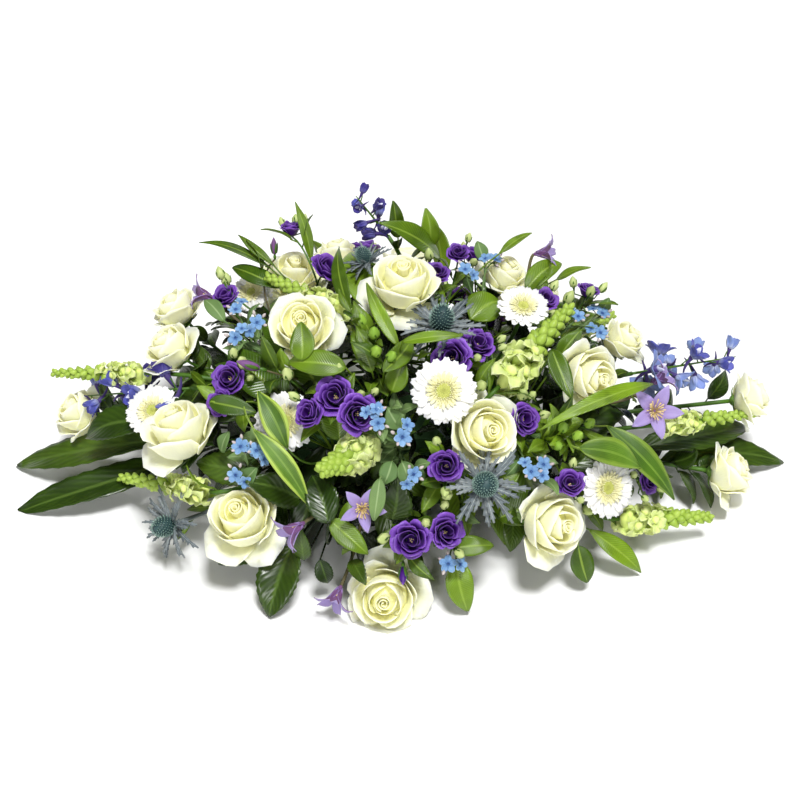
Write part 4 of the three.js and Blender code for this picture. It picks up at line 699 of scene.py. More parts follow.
def run_stems(plants):
    """Runs every stem from the foam to what it carries, one plant after another."""
    near = Neighbours(plants)
    leaves = [(leaf, owner) for owner, plant in enumerate(plants) for leaf in plant.leaves]
    leaves.sort(key=lambda entry: -entry[0][3])
    lifted = {id(leaf): lift(leaf, owner, near) for leaf, owner in leaves}
    for owner, plant in enumerate(plants):
        ends = []
        for bloom in plant.blooms:
            radius = 2.2 if bloom.size > 50 else 1.3
            ends.append((bloom, None, bloom.at - bloom.axis * bloom.joint, bloom.axis, radius))
        for leaf in plant.leaves:
            blade, axis, radius = blade_of(leaf, lifted[id(leaf)])
            ends.append((None, blade, blade["base"], axis, radius))
        centre = sum(end[2] for end in ends) / len(ends)
        root = root_of(centre)
        if len(ends) == 1:
            run_single_stem(plant.blooms[0], ends[0][2], root, owner, near)
            continue
        foot, top = main_stem(centre, root, len(ends), owner, near)
        plant.root = (foot, top)
        up = unit(top - foot)
        for n, (bloom, blade, to, axis, radius) in enumerate(ends):
            fork = top - up * (FORK_STEP * n)
            plant.forks.append(fork)
            small = bool(blade) or bloom.size < 24
            control = branch_to(to, axis, radius, small, fork, owner, near)
            if blade:
                plant.blades.append({**blade, "stalk": (fork, control, to), "radius": radius})
            else:
                bloom.stem = (fork, control, to, radius, radius * 0.8)
    for owner, plant in enumerate(plants):
        for n, leaf in enumerate(plant.inner):
            blade, axis, radius = blade_of(leaf, lift(leaf, owner, near))
            fork = plant.forks[n % len(plant.forks)]
            control = branch_to(blade["base"], axis, radius, True, fork, owner, near)
            plant.blades.append({**blade, "stalk": (fork, control, blade["base"]), "radius": radius})
    return plants


# Surfaces

# A leaf that would dip under the table lies on it: what is lower than the first height is pressed in between
# it and the second, and the third says how gently
LYING, LOWEST, EASING = 1.5, 0.8, 6


def grid_uv(n, m):
    """Across and along, each from 0 to 1, for the points of a grid."""
    v, u = np.meshgrid(np.linspace(0, 1, n), np.linspace(0, 1, m), indexing="ij")
    return np.stack([u.ravel(), v.ravel()], 1)


class Piece:
    """Collects the surfaces of one piece, each with its material, where "stand" and "seat" put them."""

    def __init__(self, name, seed):
        self.name = name
        self.random = np.random.default_rng(seed)
        self.points, self.faces, self.face_materials = [], [], []
        self.uvs, self.marks = [], []
        self.materials = []
        self.count = 0
        self.stand()

    def stand(self, turn=np.eye(3), origin=np.zeros(3)):
        """Goes to a flower's place, or back to the arrangement's own."""
        self.base_turn, self.base_origin = turn, origin
        self.turn, self.origin = turn, origin

    def seat(self, at=None, axis=UP, spin=0.0):
        """Goes to a place within the flower, or back to the flower's own."""
        self.turn, self.origin = self.base_turn, self.base_origin
        if at is not None:
            own, at = standing(at, axis, spin)
            self.turn, self.origin = self.turn @ own, self.turn @ at + self.origin

    def slot_of(self, material):
        if material not in self.materials:
            self.materials.append(material)
        return self.materials.index(material)

    def add(self, points, faces, uvs, materials, heart=0.0):
        """Points in rows, faces of four or three corners with one material name each or one for all. Every
        surface has a mark: a random share, and how near it is to the flower's heart."""
        self.points.append(points @ self.turn.T + self.origin)
        self.uvs.append(uvs)
        self.marks.append(np.tile([self.random.random(), heart], (len(points), 1)))
        if isinstance(materials, str):
            materials = [materials] * len(faces)
        self.face_materials += [self.slot_of(m) for m in materials]
        self.faces += [[int(i) + self.count for i in face] for face in faces]
        self.count += len(points)

    def sheet(self, grid, front, back=None, thick=0.5, heart=0.0):
        """A thin closed sheet on a grid of points, rows from base to tip."""
        n, m = grid.shape[:2]
        along, across = np.gradient(grid, axis=0), np.gradient(grid, axis=1)
        normal = np.cross(across, along)
        length = np.linalg.norm(normal, axis=2, keepdims=True)
        normal = normal / np.maximum(length, 1e-9)
        half = normal * thick / 2
        points = np.concatenate([(grid + half).reshape(-1, 3), (grid - half).reshape(-1, 3)])
        index = np.arange(n * m).reshape(n, m)
        a, b = index[:-1, :-1].ravel(), index[:-1, 1:].ravel()
        c, d = index[1:, 1:].ravel(), index[1:, :-1].ravel()
        top = np.stack([a, b, c, d], 1)
        bottom = np.stack([d, c, b, a], 1) + n * m
        rim = np.concatenate([index[0, :], index[1:, -1], index[-1, -2::-1], index[-2:0:-1, 0]])
        follow = np.roll(rim, -1)
        edge = np.stack([follow, rim, rim + n * m, follow + n * m], 1)
        uv = grid_uv(n, m)
        names = [front] * len(top) + [back or front] * len(bottom) + [front] * len(edge)
        self.add(points, np.concatenate([top, bottom, edge]), np.concatenate([uv, uv]), names, heart)

    def rings(self, rows, material, heart=0.0):
        """A closed body of rings with equal counts, its two ends drawn to their middles."""
        rows = np.asarray(rows)
        n, m = rows.shape[:2]
        points = np.concatenate([rows.reshape(-1, 3), rows[0].mean(0)[None], rows[-1].mean(0)[None]])
        index = np.arange(n * m).reshape(n, m)
        right = np.roll(index, -1, axis=1)
        walls = np.stack([index[:-1].ravel(), right[:-1].ravel(), right[1:].ravel(), index[1:].ravel()], 1)
        faces = walls.tolist()
        faces += [[int(b), int(a), n * m] for a, b in zip(index[0], right[0])]
        faces += [[int(a), int(b), n * m + 1] for a, b in zip(index[-1], right[-1])]
        uv = np.concatenate([grid_uv(n, m), [[0.5, 0], [0.5, 1]]])
        self.add(points, faces, uv, material, heart)

    def tube(self, line, radii, material, sides=8, heart=0.0):
        """A round stem along a row of points."""
        line = np.asarray(line, float)
        along = np.gradient(line, axis=0)
        along /= np.linalg.norm(along, axis=1, keepdims=True)
        side = unit(np.cross(along[0], UP if abs(along[0][2]) < 0.9 else np.array([1.0, 0, 0])))
        angles = np.linspace(0, 2 * pi, sides, endpoint=False)
        rows = []
        for p, direction, r in zip(line, along, np.broadcast_to(radii, len(line))):
            side = unit(side - direction * (side @ direction))
            other = np.cross(direction, side)
            rows.append(p + r * (np.cos(angles)[:, None] * side + np.sin(angles)[:, None] * other))
        self.rings(rows, material, heart)

    def lathe(self, profile, material, sides=12, heart=0.0, ribs=0, rib_depth=0.0, twist=0.0):
        """A round body about +Z from rows of [radius, height], with ribs round it."""
        angles = np.linspace(0, 2 * pi, sides, endpoint=False)
        rows = []
        for k, (r, z) in enumerate(profile):
            turn = angles + twist * k / len(profile)
            wide = r * (1 + rib_depth * np.cos(ribs * angles)) if ribs else np.full(sides, r)
            rows.append(np.stack([wide * np.cos(turn), wide * np.sin(turn), np.full(sides, z)], 1))
        self.rings(rows, material, heart)

    def make(self, slot_name, node):
        """The Blender object, which replaces its node."""
        mesh = bpy.data.meshes.new(self.name)
        points = np.concatenate(self.points)
        low = points[:, 2] < LYING
        points[low, 2] = LOWEST + (LYING - LOWEST) * np.exp((points[low, 2] - LYING) / EASING)
        points = points * MM
        mesh.from_pydata(points.tolist(), [], self.faces)
        mesh.polygons.foreach_set("use_smooth", [True] * len(self.faces))
        mesh.polygons.foreach_set("material_index", self.face_materials)
        corners = np.empty(len(mesh.loops), np.int32)
        mesh.loops.foreach_get("vertex_index", corners)
        for layer, values in (("UVMap", self.uvs), ("mark", self.marks)):
            mesh.uv_layers.new(name=layer).data.foreach_set("uv", np.concatenate(values)[corners].ravel())
        for material in self.materials:
            mesh.materials.append(MATERIALS[material])
        mesh.validate()
        piece = bpy.data.objects.new(self.name, mesh)
        bpy.context.scene.collection.objects.link(piece)
        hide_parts(node)
        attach(piece, "root")


# Petals and leaves, as grids of points: s runs from 0 at the base to 1 at the tip, t across from -1 to 1

def blade_grid(n, m):
    return np.meshgrid(np.linspace(0, 1, n), np.linspace(-1, 1, m), indexing="ij")


def cup_petal(turn, half, base, belly, rim, curl, ruffle, draw, spiral=0.0, point=0.0):
    """A petal of a cupped flower, which swells from its base to its belly and goes on to its rim, each given
    as a radius and a height. Its rim curls back most beside the middle."""
    s, t = blade_grid(9, 11)
    h = s * (1 - 0.24 * t ** 4 * s - 0.06 * t ** 2 * s + point * np.exp(-(t / 0.2) ** 2) * s ** 3)
    angle = turn + t * half * (0.4 + 0.6 * np.sin(pi / 2 * np.minimum(1, 1.3 * s)))
    swell = 2 * belly[0] - 0.5 * rim[0] - 0.45 * belly[0], belly[1]
    ways = [base, (belly[0] * 0.9, base[1]), swell, rim]
    weights = [(1 - h) ** 3, 3 * h * (1 - h) ** 2, 3 * h ** 2 * (1 - h), h ** 3]
    r = sum(w * way[0] for w, way in zip(weights, ways))
    z = sum(w * way[1] for w, way in zip(weights, ways))
    over = np.clip((h - 0.66) / 0.34, 0, 1.3) ** 2 * (0.55 + 0.75 * np.exp(-((np.abs(t) - 0.62) / 0.3) ** 2))
    r = r + curl * over
    z = z - 0.5 * curl * over ** 1.5
    phase = draw.uniform(0, 2 * pi, 3)
    wave = np.sin(3.1 * t + phase[0]) + 0.6 * np.sin(7 * t + phase[1])
    r = r + spiral * t * s + 0.7 * ruffle * s ** 2 * wave
    z = z + ruffle * s ** 3 * (np.sin(3.6 * t + phase[1]) + 0.5 * np.sin(8 * t + phase[2]))
    return np.stack([r * np.cos(angle), r * np.sin(angle), z], 2)


def strap(length, half_width, start, rise, droop, notch, tip, n=7, m=4):
    """A strap-shaped ray along +X from a start radius, that rises and droops, with a rounded, notched tip."""
    s, t = blade_grid(n, m)
    wide = half_width * (0.45 + 0.55 * np.sin(pi / 2 * np.minimum(1, 1.6 * s)))
    wide = wide * np.where(s > tip, np.sqrt(np.maximum(0.03, 1 - ((s - tip) / (1.02 - tip)) ** 2)), 1)
    x = start + (length - start) * (s - notch * (1 - np.abs(t)) * s ** 6)
    z = rise * s - droop * s ** 2 + 0.35 * half_width * np.abs(t)
    return np.stack([x, -t * wide, z], 2)


def tepal(length, half_width, rise, n=9, m=5, curl=0.0, wave=0.0, phase=0.0, pointed=0.75):
    """A pointed tepal along +X that stands at "rise" radians over the flat and curls back at its tip."""
    s, t = blade_grid(n, m)
    wide = half_width * np.maximum(0.03, np.sin(pi * np.minimum(1, 0.16 + 0.84 * s)) ** pointed)
    angle = rise - curl * s ** 2
    step = length / (n - 1)
    x = np.cumsum(np.cos(angle), axis=0) * step - np.cos(angle[0]) * step
    z = np.cumsum(np.sin(angle), axis=0) * step - np.sin(angle[0]) * step
    z = z + 0.25 * wide * np.abs(t) + wave * np.sin(9 * s + phase + t) * np.abs(t)
    return np.stack([x, -t * wide, z], 2)


def turned(grid, angle):
    c, s = cos(angle), sin(angle)
    return grid @ np.array([[c, s, 0], [-s, c, 0], [0, 0, 1]])


def sepals(piece, count, grid, material, thick=0.6, first=0.0):
    """Copies of one sepal, evenly round the flower's foot."""
    for k in range(count):
        piece.sheet(turned(grid, 2 * pi * k / count + first), material, thick=thick)


# For each outline of a leaf, the exponents that say how early it is widest and how full it is
LEAF_SHAPES = {"leaf": (0.8, 0.7), "long": (0.9, 0.9), "broad": (0.82, 0.62)}


def leaf_grid(base, tip, width, normal, arch, form, draw, wave, n=20, m=9, serration=0.0):
    """A folded, arched leaf blade from its base to its tip, which droops and sways a little."""
    along = tip - base
    length = np.linalg.norm(along)
    up = unit(normal - along * (normal @ along) / length ** 2)
    side = unit(np.cross(up, along))
    early, full = LEAF_SHAPES[form]
    s, t = blade_grid(n, m)
    half = width / 2 * np.maximum(0.02, np.sin(pi * s ** early)) ** full
    half[0] = np.maximum(half[0], 1.2)
    half = half * (1 - serration * (np.arange(n) % 2)[:, None] * np.abs(t))
    phase = draw.uniform(0, 2 * pi, 3)
    lift = half * LEAF_FOLD * np.abs(t) ** 1.2
    ripple = np.sin(7 * s + phase[0] + np.where(t > 0, phase[1], 0))
    lift = lift + wave * width * np.abs(t) ** 2 * ripple * sin(1)
    lift = lift + length * (arch * 4 * s * (1 - s) - 0.05 * s ** 4)
    sway = length * 0.05 * sin(phase[2]) * np.sin(pi * s)
    return base + s[..., None] * along + (t * half + sway)[..., None] * side + lift[..., None] * up


# Flowers. R is half the flower's size; each opens along +Z about the origin of its place.

ROSE_PETALS = 13
ROSE_SPIRAL = [
    # share of the way in, belly radius and height, rim radius and height, half angle, curl
    (0.0, 0.73, -0.30, 0.95, 0.00, 0.86, 0.17),
    (0.3, 0.72, -0.13, 0.85, 0.32, 1.02, 0.13),
    (0.55, 0.64, 0.05, 0.64, 0.56, 1.25, 0.07),
    (0.8, 0.50, 0.20, 0.43, 0.69, 1.45, 0.03),
    (1.0, 0.35, 0.30, 0.26, 0.73, 1.60, 0.01),
]
ROSE_CORE = [[0.1, -0.5], [0.36, -0.42], [0.5, -0.2], [0.54, -0.02], [0.48, 0.14], [0.36, 0.28], [0.22, 0.38],
             [0.1, 0.42], [0.03, 0.4]]
# The heights between which the petals bend over
ROSE_BEND = -0.5, 0.2
ROSE_NODS = {
    # how far the heart leans rightwards and upwards in the view, in radians
    "rose_01": (-0.1, 0.3), "rose_02": (-0.2, 0.5), "rose_03": (-0.15, 0.75), "rose_04": (0.1, 0.7),
    "rose_05": (0.05, 0.28), "rose_06": (0.0, 0.42), "rose_07": (0.2, 0.05), "rose_08": (-0.08, -0.12),
    "rose_09": (0.3, -0.1), "rose_10": (0.2, 0.3), "rose_11": (0.3, 0.4), "rose_12": (0.1, 0.55),
    "rose_13": (0.42, 0.0), "rose_14": (0.1, 0.2),
}


def nodded(points, way, low, high):
    """Bends points over towards a way across the axis, ever more between two heights."""
    angle = np.linalg.norm(way)
    share = np.clip((points[..., 2] - low) / (high - low), 0, 1)
    bend = angle * share * share * (3 - 2 * share)
    way = np.array([way[0], way[1], 0]) / angle
    along = points @ way
    up = points[..., 2]
    moved = points + ((np.cos(bend) - 1) * along + np.sin(bend) * up)[..., None] * way
    moved[..., 2] = np.cos(bend) * up - np.sin(bend) * along
    return moved


def rose(piece, R):
    """Petals in one spiral, open outside and closed inside, round a wound heart and over a core."""
    draw = piece.random
    right, up = ROSE_NODS[piece.name.removesuffix("_look")] if piece.name.startswith("rose") else (0.2, 0.2)
    way = piece.turn.T @ (np.array([right, 0, 0]) + VIEW_UP * up)
    start = draw.uniform(0, 2 * pi)
    rows = np.array(ROSE_SPIRAL)
    for k in range(ROSE_PETALS):
        share = k / (ROSE_PETALS - 1)
        row = [np.interp(share, rows[:, 0], rows[:, i]) for i in range(1, 7)]
        belly_r, belly_z, rim_r, rim_z, half, curl = row
        rim = rim_r * draw.uniform(0.96, 1.04), rim_z + draw.uniform(-0.05, 0.05)
        if k in (0, 2):
            rim = 1.02, rim_z - draw.uniform(0.1, 0.3)
        turn = start + TURN * k + draw.uniform(-0.12, 0.12)
        half *= draw.uniform(0.92, 1.06)
        curl *= draw.uniform(0.4, 1.5)
        base = 0.14 - 0.08 * share, -0.54 + 0.3 * share
        grid = cup_petal(turn, half, base, (belly_r, belly_z), rim, curl, 0.024 - 0.014 * share, draw,
                         point=0.07 * (1 - share))
        piece.sheet(nodded(grid, way, *ROSE_BEND) * R, "rose", thick=0.7, heart=0.75 * share)
    s, a = np.meshgrid(np.linspace(0, 1, 6), np.linspace(0, 15.5, 48), indexing="ij")
    r = (0.035 + 0.0115 * a) * (0.7 + 0.36 * s - 0.1 * s ** 2)
    z = 0.3 + s * (0.42 + 0.025 * np.sin(1.9 * a))
    heart = np.stack([r * np.cos(a + start), r * np.sin(a + start), z], 2)
    piece.sheet(nodded(heart, way, *ROSE_BEND) * R, "rose", thick=0.6, heart=0.95)
    angles = np.linspace(0, 2 * pi, 18, endpoint=False)
    core = np.array([[about(a, r, z) for a in angles] for r, z in ROSE_CORE])
    piece.rings(nodded(core, way, *ROSE_BEND) * R, "rose", 0.9)
    hip = [[0.07, -0.68], [0.17, -0.62], [0.22, -0.52], [0.17, -0.44]]
    piece.lathe(np.array(hip) * R, "calyx", 10)
    sepal = tepal(0.55 * R, 0.1 * R, -0.15, curl=-0.7, n=6, m=3)
    sepals(piece, 5, sepal + [0, 0, -0.55 * R], "calyx")


# petals, belly radius and height, rim radius and height, half angle, curl of each layer
LISIANTHUS_LAYERS = [
    (5, 0.60, -0.22, 0.97, 0.20, 0.86, 0.14),
    (4, 0.57, -0.12, 0.76, 0.40, 1.00, 0.10),
    (3, 0.47, -0.02, 0.53, 0.47, 1.20, 0.06),
    (2, 0.34, 0.04, 0.33, 0.44, 1.90, 0.03),
]


def lisianthus(piece, R):
    draw = piece.random
    turn = draw.uniform(0, 2 * pi)
    for layer, (count, belly_r, belly_z, rim_r, rim_z, half, curl) in enumerate(LISIANTHUS_LAYERS):
        heart = layer / (len(LISIANTHUS_LAYERS) - 1)
        for k in range(count):
            angle = turn + 2 * pi * k / count + draw.uniform(-0.2, 0.2)
            rim = rim_r * draw.uniform(0.88, 1.04), rim_z + draw.uniform(-0.08, 0.08)
            curl_now = curl * draw.uniform(0.4, 1.7)
            base = 0.07, -0.62 + 0.1 * heart
            grid = cup_petal(angle, half, base, (belly_r, belly_z), rim, curl_now, 0.05, draw, spiral=0.08)
            piece.sheet(grid * R, "lisianthus", thick=0.5, heart=heart)
        turn += pi / count + 0.4
    throat = [[0.05, -0.64], [0.24, -0.5], [0.3, -0.34], [0.04, -0.36]]
    piece.lathe(np.array(throat) * R, "lisianthus", 9, 1.0)
    for k in range(6):
        foot = about(TURN * k, 0.05 * sqrt(k), -0.5) * R
        piece.tube([foot, foot + [0, 0, 0.2 * R], foot + [0, 0, 0.36 * R]], [0.5, 0.4, 0.6], "anther", 4)
    sepal = tepal(0.66 * R, 0.05 * R, 0.85, n=5, m=3, curl=-0.2)
    sepals(piece, 5, sepal + [0, 0, -0.66 * R], "stem", first=0.3)


GERBERA_ROWS = [
    # rays, reach, half width, rise, droop
    (19, 1.0, 0.135, 0.06, 0.04),
    (19, 0.92, 0.125, 0.14, 0.05),
    (24, 0.56, 0.05, 0.22, 0.06),
    (22, 0.44, 0.035, 0.22, 0.05),
]
GERBERA_DISC = [[0.05, -0.12], [0.22, -0.1], [0.27, 0.0], [0.26, 0.06], [0.2, 0.1], [0.12, 0.1], [0.04, 0.07]]
GERBERA_CUP = [[0.06, -0.34], [0.14, -0.26], [0.26, -0.14], [0.3, -0.05], [0.24, -0.03]]
GERBERA_FLORETS = 110


def gerbera(piece, R):
    """Two rows of rays, two of fringe, and a disc of many small florets."""
    draw = piece.random
    for row, (count, length, half, rise, droop) in enumerate(GERBERA_ROWS):
        for k in range(count):
            angle = 2 * pi * (k + 0.5 * row) / count + draw.uniform(-0.05, 0.05)
            reach = length * draw.uniform(0.93, 1.0)
            grid = strap(reach * R, half * R, 0.16 * R, rise * R, droop * R * draw.uniform(0.2, 2.2), 0.03,
                         tip=0.78 if row < 2 else 0.6)
            piece.sheet(turned(grid, angle), "gerbera" if row < 2 else "fringe", thick=0.5, heart=row / 3)
    piece.lathe(np.array(GERBERA_DISC) * R, "disc", 18)
    width = 0.017 * R
    for k in range(GERBERA_FLORETS):
        share = (k + 0.5) / GERBERA_FLORETS
        a = FINE_TURN * k
        tall = 0.03 + 0.09 * share ** 2
        at = about(a, 0.27 * sqrt(share), 0.08) * R
        lean = about(a, share, 1.4) * tall * R
        piece.tube([at - lean * 0.3, at + lean * 0.5, at + lean], [width, width * 1.1, width * 0.6],
                   "disc" if share < 0.45 else "fringe", 4, share)
    piece.lathe(np.array(GERBERA_CUP) * R, "calyx", 14, ribs=7, rib_depth=0.04)


CLEMATIS_ANTHERS = 26


def clematis(piece, R, bell):
    """Five tepals, in a bell that hangs half closed or in an open star, round a tuft of anthers."""
    draw = piece.random
    for k in range(5):
        angle = 2 * pi * k / 5 + draw.uniform(-0.06, 0.06)
        if bell:
            curl = 1.1 + draw.uniform(0, 0.4)
            grid = tepal(1.12 * R, 0.19 * R, 1.25, curl=curl, wave=0.03 * R, phase=k, pointed=0.6)
        else:
            grid = tepal(1.06 * R, 0.25 * R, 0.42, curl=0.3, wave=0.035 * R, phase=k, pointed=0.8)
        piece.sheet(turned(grid, angle), "clematis", "clematis_back", thick=0.7)
    for k in range(CLEMATIS_ANTHERS):
        lean = (0.18 if bell else 0.45) * draw.uniform(0.3, 1.0)
        end = about(TURN * k, lean, 0.36) * R * draw.uniform(0.8, 1)
        piece.tube([end * 0.1, end * 0.6, end], [0.5, 0.4, 0.75], "anther", 4, k / CLEMATIS_ANTHERS)
    piece.lathe(np.array([[0.03, -0.12], [0.07, -0.06], [0.09, 0.02], [0.04, 0.08]]) * R, "clematis_back", 8)


HOLLY_RINGS = [
    # bracts, reach, slope, half width of the blade, reach of its spines
    (8, 1.22, 0.10, 0.068, 0.15),
    (7, 1.02, 0.45, 0.062, 0.13),
    (6, 0.74, 0.85, 0.050, 0.09),
]
HOLLY_CONE = [[0.1, 0.0], [0.22, 0.08], [0.26, 0.24], [0.25, 0.42], [0.18, 0.58], [0.08, 0.66]]
HOLLY_FLORETS = 170


def holly_bract(reach, slope, half, spines, bend):
    """A narrow bract along +X with four pairs of spines, shorter towards its tip, that stand up a little."""
    rows = [(0.0, 0.0)]
    for k in range(4):
        middle = 0.26 + 0.19 * k
        rows += [(middle - 0.09, 0.0), (middle, 1.0 - 0.16 * k), (middle + 0.05, 0.0)]
    rows.append((1.0, 0.0))
    s, spine = np.array(rows).T
    wide = half * (1.35 - s) * (spine == 0) + spines * spine
    x = 0.1 + (reach - 0.1) * s
    z = slope * reach * s - 0.14 * s ** 2
    rib = np.stack([x, bend * s ** 2, z], 1)
    left, right = [rib + np.stack([0.75 * spines * spine, side * wide, 0.4 * spines * spine + 0.2 * half], 1)
                   for side in (-1, 1)]
    return np.stack([left, rib, right], 1)


def sea_holly(piece, R):
    draw = piece.random
    for ring, (count, reach, slope, half, lobes) in enumerate(HOLLY_RINGS):
        for k in range(count):
            long, rise = reach * draw.uniform(0.85, 1.05), slope + draw.uniform(-0.12, 0.12)
            grid = holly_bract(long, rise, half, lobes, draw.uniform(-0.16, 0.16))
            angle = 2 * pi * (k + 0.5 * ring) / count + draw.uniform(-0.12, 0.12)
            piece.sheet(turned(grid * R, angle), "sea_holly", thick=0.8, heart=0.2)
    piece.lathe(np.array(HOLLY_CONE) * R, "sea_holly_head", 16)
    radii, heights = zip(*HOLLY_CONE)
    for k in range(HOLLY_FLORETS):
        share = (k + 0.5) / HOLLY_FLORETS
        height = 0.06 + 0.6 * share
        a = FINE_TURN * k
        out = unit(about(a, 1, 0.25 + 1.4 * share))
        at = about(a, np.interp(height, heights, radii), height) * R
        piece.tube([at - out * 0.02 * R, at + out * 0.03 * R], [0.028 * R, 0.018 * R], "sea_holly_head", 4)
        piece.tube([at + out * 0.028 * R, at + out * 0.1 * R], [0.014 * R, 0.2], "sea_holly_tip", 4)


def tweedia_face(piece, R):
    """One tweedia flower: five blunt lobes, cupped round a small crown."""
    draw = piece.random
    for k in range(5):
        grid = strap(R, 0.4 * R, 0.0, 0.46 * R, draw.uniform(0.1, 0.3) * R, 0.0, 0.45, n=6, m=5)
        angle = 2 * pi * k / 5 + draw.uniform(-0.08, 0.08)
        piece.sheet(turned(grid, angle), "tweedia", "tweedia_back", heart=draw.uniform(0, 1))
    for k in range(5):
        a = 2 * pi * k / 5 + 0.6
        at = about(a, 0.13, 0.05) * R
        piece.tube([at, at + about(a, 0.02, 0.2) * R], [0.08 * R, 0.05 * R], "tweedia_eye", 4)
    piece.lathe(np.array([[0.05, -0.26], [0.12, -0.16], [0.12, -0.04], [0.06, 0.04]]) * R, "tweedia_back", 7)


def tweedia(piece, R):
    """A tweedia flower with a smaller one and buds beside it."""
    draw = piece.random
    tweedia_face(piece, R)
    foot = np.array([0, 0, -0.6 * R])
    a = draw.uniform(0, 2 * pi)
    beside = about(a, 1.25, -0.15) * R
    piece.tube([foot, (foot + beside) / 2 - [0, 0, 0.15 * R], beside], [0.7, 0.6, 0.6], "tweedia_leaf", 5)
    piece.seat(beside, about(a, 0.7, 1), a)
    tweedia_face(piece, 0.85 * R)
    piece.seat()
    for k in range(3):
        axis = about(a + 1.4 + 1.2 * k + draw.uniform(0, 0.5), 1, 0.5 + draw.uniform(0, 0.6))
        tip = foot + unit(axis) * R * draw.uniform(0.9, 1.3)
        piece.tube([foot, (foot + tip) / 2 + [0, 0, -0.06 * R], tip], [0.7, 0.6, 0.6], "tweedia_leaf", 5)
        little_bud(piece, tip, axis, 0.2 * R, 0.6 * R, "tweedia_bud", 0.5)


def bud(piece, R, width, material):
    """A closed pointed bud of twisted petals in its sepals."""
    profile = [[0.35, -0.5], [0.8, -0.3], [1.0, 0.0], [0.95, 0.28], [0.72, 0.58], [0.4, 0.82], [0.1, 1.0]]
    rows = [[r * width * R, z * R] for r, z in profile]
    piece.lathe(rows, material, 15, ribs=5, rib_depth=0.07, twist=1.3)
    sepal = tepal(0.95 * R, 0.12 * R, 1.32, n=6, m=3, curl=-0.25)
    sepals(piece, 4, sepal + [width * R * 0.72, 0, -0.42 * R], "stem", thick=0.5)
    neck = [[0.1, -0.95], [0.14, -0.7], [0.3 * width, -0.5], [0.2 * width, -0.35]]
    piece.lathe(np.array(neck) * R, "stem", 8)


def pouch(piece, at, axis, size, openness):
    """A two-lipped snapdragon floret: a swollen tube, two lobes that stand up and three that hang."""
    piece.seat(at, axis)
    tube = [[0.13, -0.55], [0.2, -0.42], [0.22, -0.15], [0.18, 0.05], [0.22, 0.2], [0.1, 0.28]]
    piece.lathe(np.array(tube) * size, "floret", 9, heart=0.9)
    for k in range(5):
        long, half = (0.66, 0.3) if k in (0, 4) else (0.54, 0.24)
        lobe = tepal(long * size, half * size, 1.3 - openness, curl=1.9 * openness, n=8, m=7,
                     wave=0.05 * size, phase=piece.random.uniform(0, 6), pointed=0.35)
        piece.sheet(turned(lobe + [0.1 * size, 0, 0], 2 * pi * (k + 0.5) / 5), "floret", heart=0.2)
    piece.seat()


def little_bud(piece, at, axis, radius, length, material, heart):
    """A plain egg-shaped bud."""
    piece.seat(at, axis)
    rows = [[0.35, -0.1], [0.85, 0.1], [1.0, 0.4], [0.8, 0.72], [0.25, 1.0]]
    piece.lathe([[r * radius, z * length] for r, z in rows], material, 7, heart)
    piece.seat()


SNAPDRAGON_FLORETS, SNAPDRAGON_BUDS = 10, 40


def snapdragon(piece, R, length):
    """A spike of open florets below and ever smaller buds above."""
    line = np.array([[0, 0, z * length] for z in (0, 0.3, 0.6, 0.85, 1.0)])
    piece.tube(line, [2.0, 1.8, 1.5, 1.1, 0.7], "stem", 7)
    for k in range(SNAPDRAGON_FLORETS):
        s = 0.01 + 0.38 * k / SNAPDRAGON_FLORETS
        axis = about(TURN * k, 1, 0.4)
        at = np.array([0, 0, s * length]) + unit(axis) * 0.5 * R
        pouch(piece, at, axis, R * (1.6 - 1.1 * s), 0.95 - 1.2 * s + piece.random.uniform(-0.1, 0.1))
    for k in range(SNAPDRAGON_BUDS):
        s = 0.36 + 0.62 * (k / SNAPDRAGON_BUDS) ** 0.85
        size = R * (0.88 - 0.5 * s)
        axis = about(TURN * k + 0.7, 1, 0.3 + 0.7 * s)
        foot = np.array([0, 0, s * length]) + unit(axis) * 0.2 * size
        little_bud(piece, foot, axis, 0.47 * size, 1.1 * size, "lime", 1 - s)


def trumpet(piece, centre, axis, spin, big, openness, name):
    """A larkspur floret: five tepals round its mouth, and a long spur that bends up behind."""
    piece.seat(centre, axis, spin)
    for j in range(5):
        rise = 1.38 - openness * (0.7 + 0.12 * (j % 2))
        grid = tepal(0.5 * big, 0.17 * big, rise, curl=0.55 * openness, n=8, pointed=0.5, wave=0.012 * big,
                     phase=j)
        piece.sheet(turned(grid + [0.05 * big, 0, -0.1 * big], 2 * pi * j / 5), name, heart=j / 5)
    sepals(piece, 2, tepal(0.3 * big, 0.07 * big, 1.15, n=5, m=3), "bee", 0.5, 0.6)
    spur = [[0, 0, 0.06], [0, 0, -0.1], [0, 0.03, -0.3], [0, 0.12, -0.5], [0, 0.24, -0.64]]
    piece.tube(np.array(spur) * big, np.array([0.09, 0.085, 0.05, 0.035, 0.015]) * big, "larkspur_back", 7)
    piece.seat()


LARKSPURS = {
    # how open the florets are, how large, and their colours in turn
    "delphinium_01": (0.15, 2.3, ("larkspur_dark", "larkspur_dark", "larkspur")),
    "delphinium_02": (0.45, 2.7, ("larkspur", "larkspur_dark", "larkspur")),
    "delphinium_03": (0.9, 2.4, ("larkspur_pale", "larkspur_pale", "larkspur")),
}


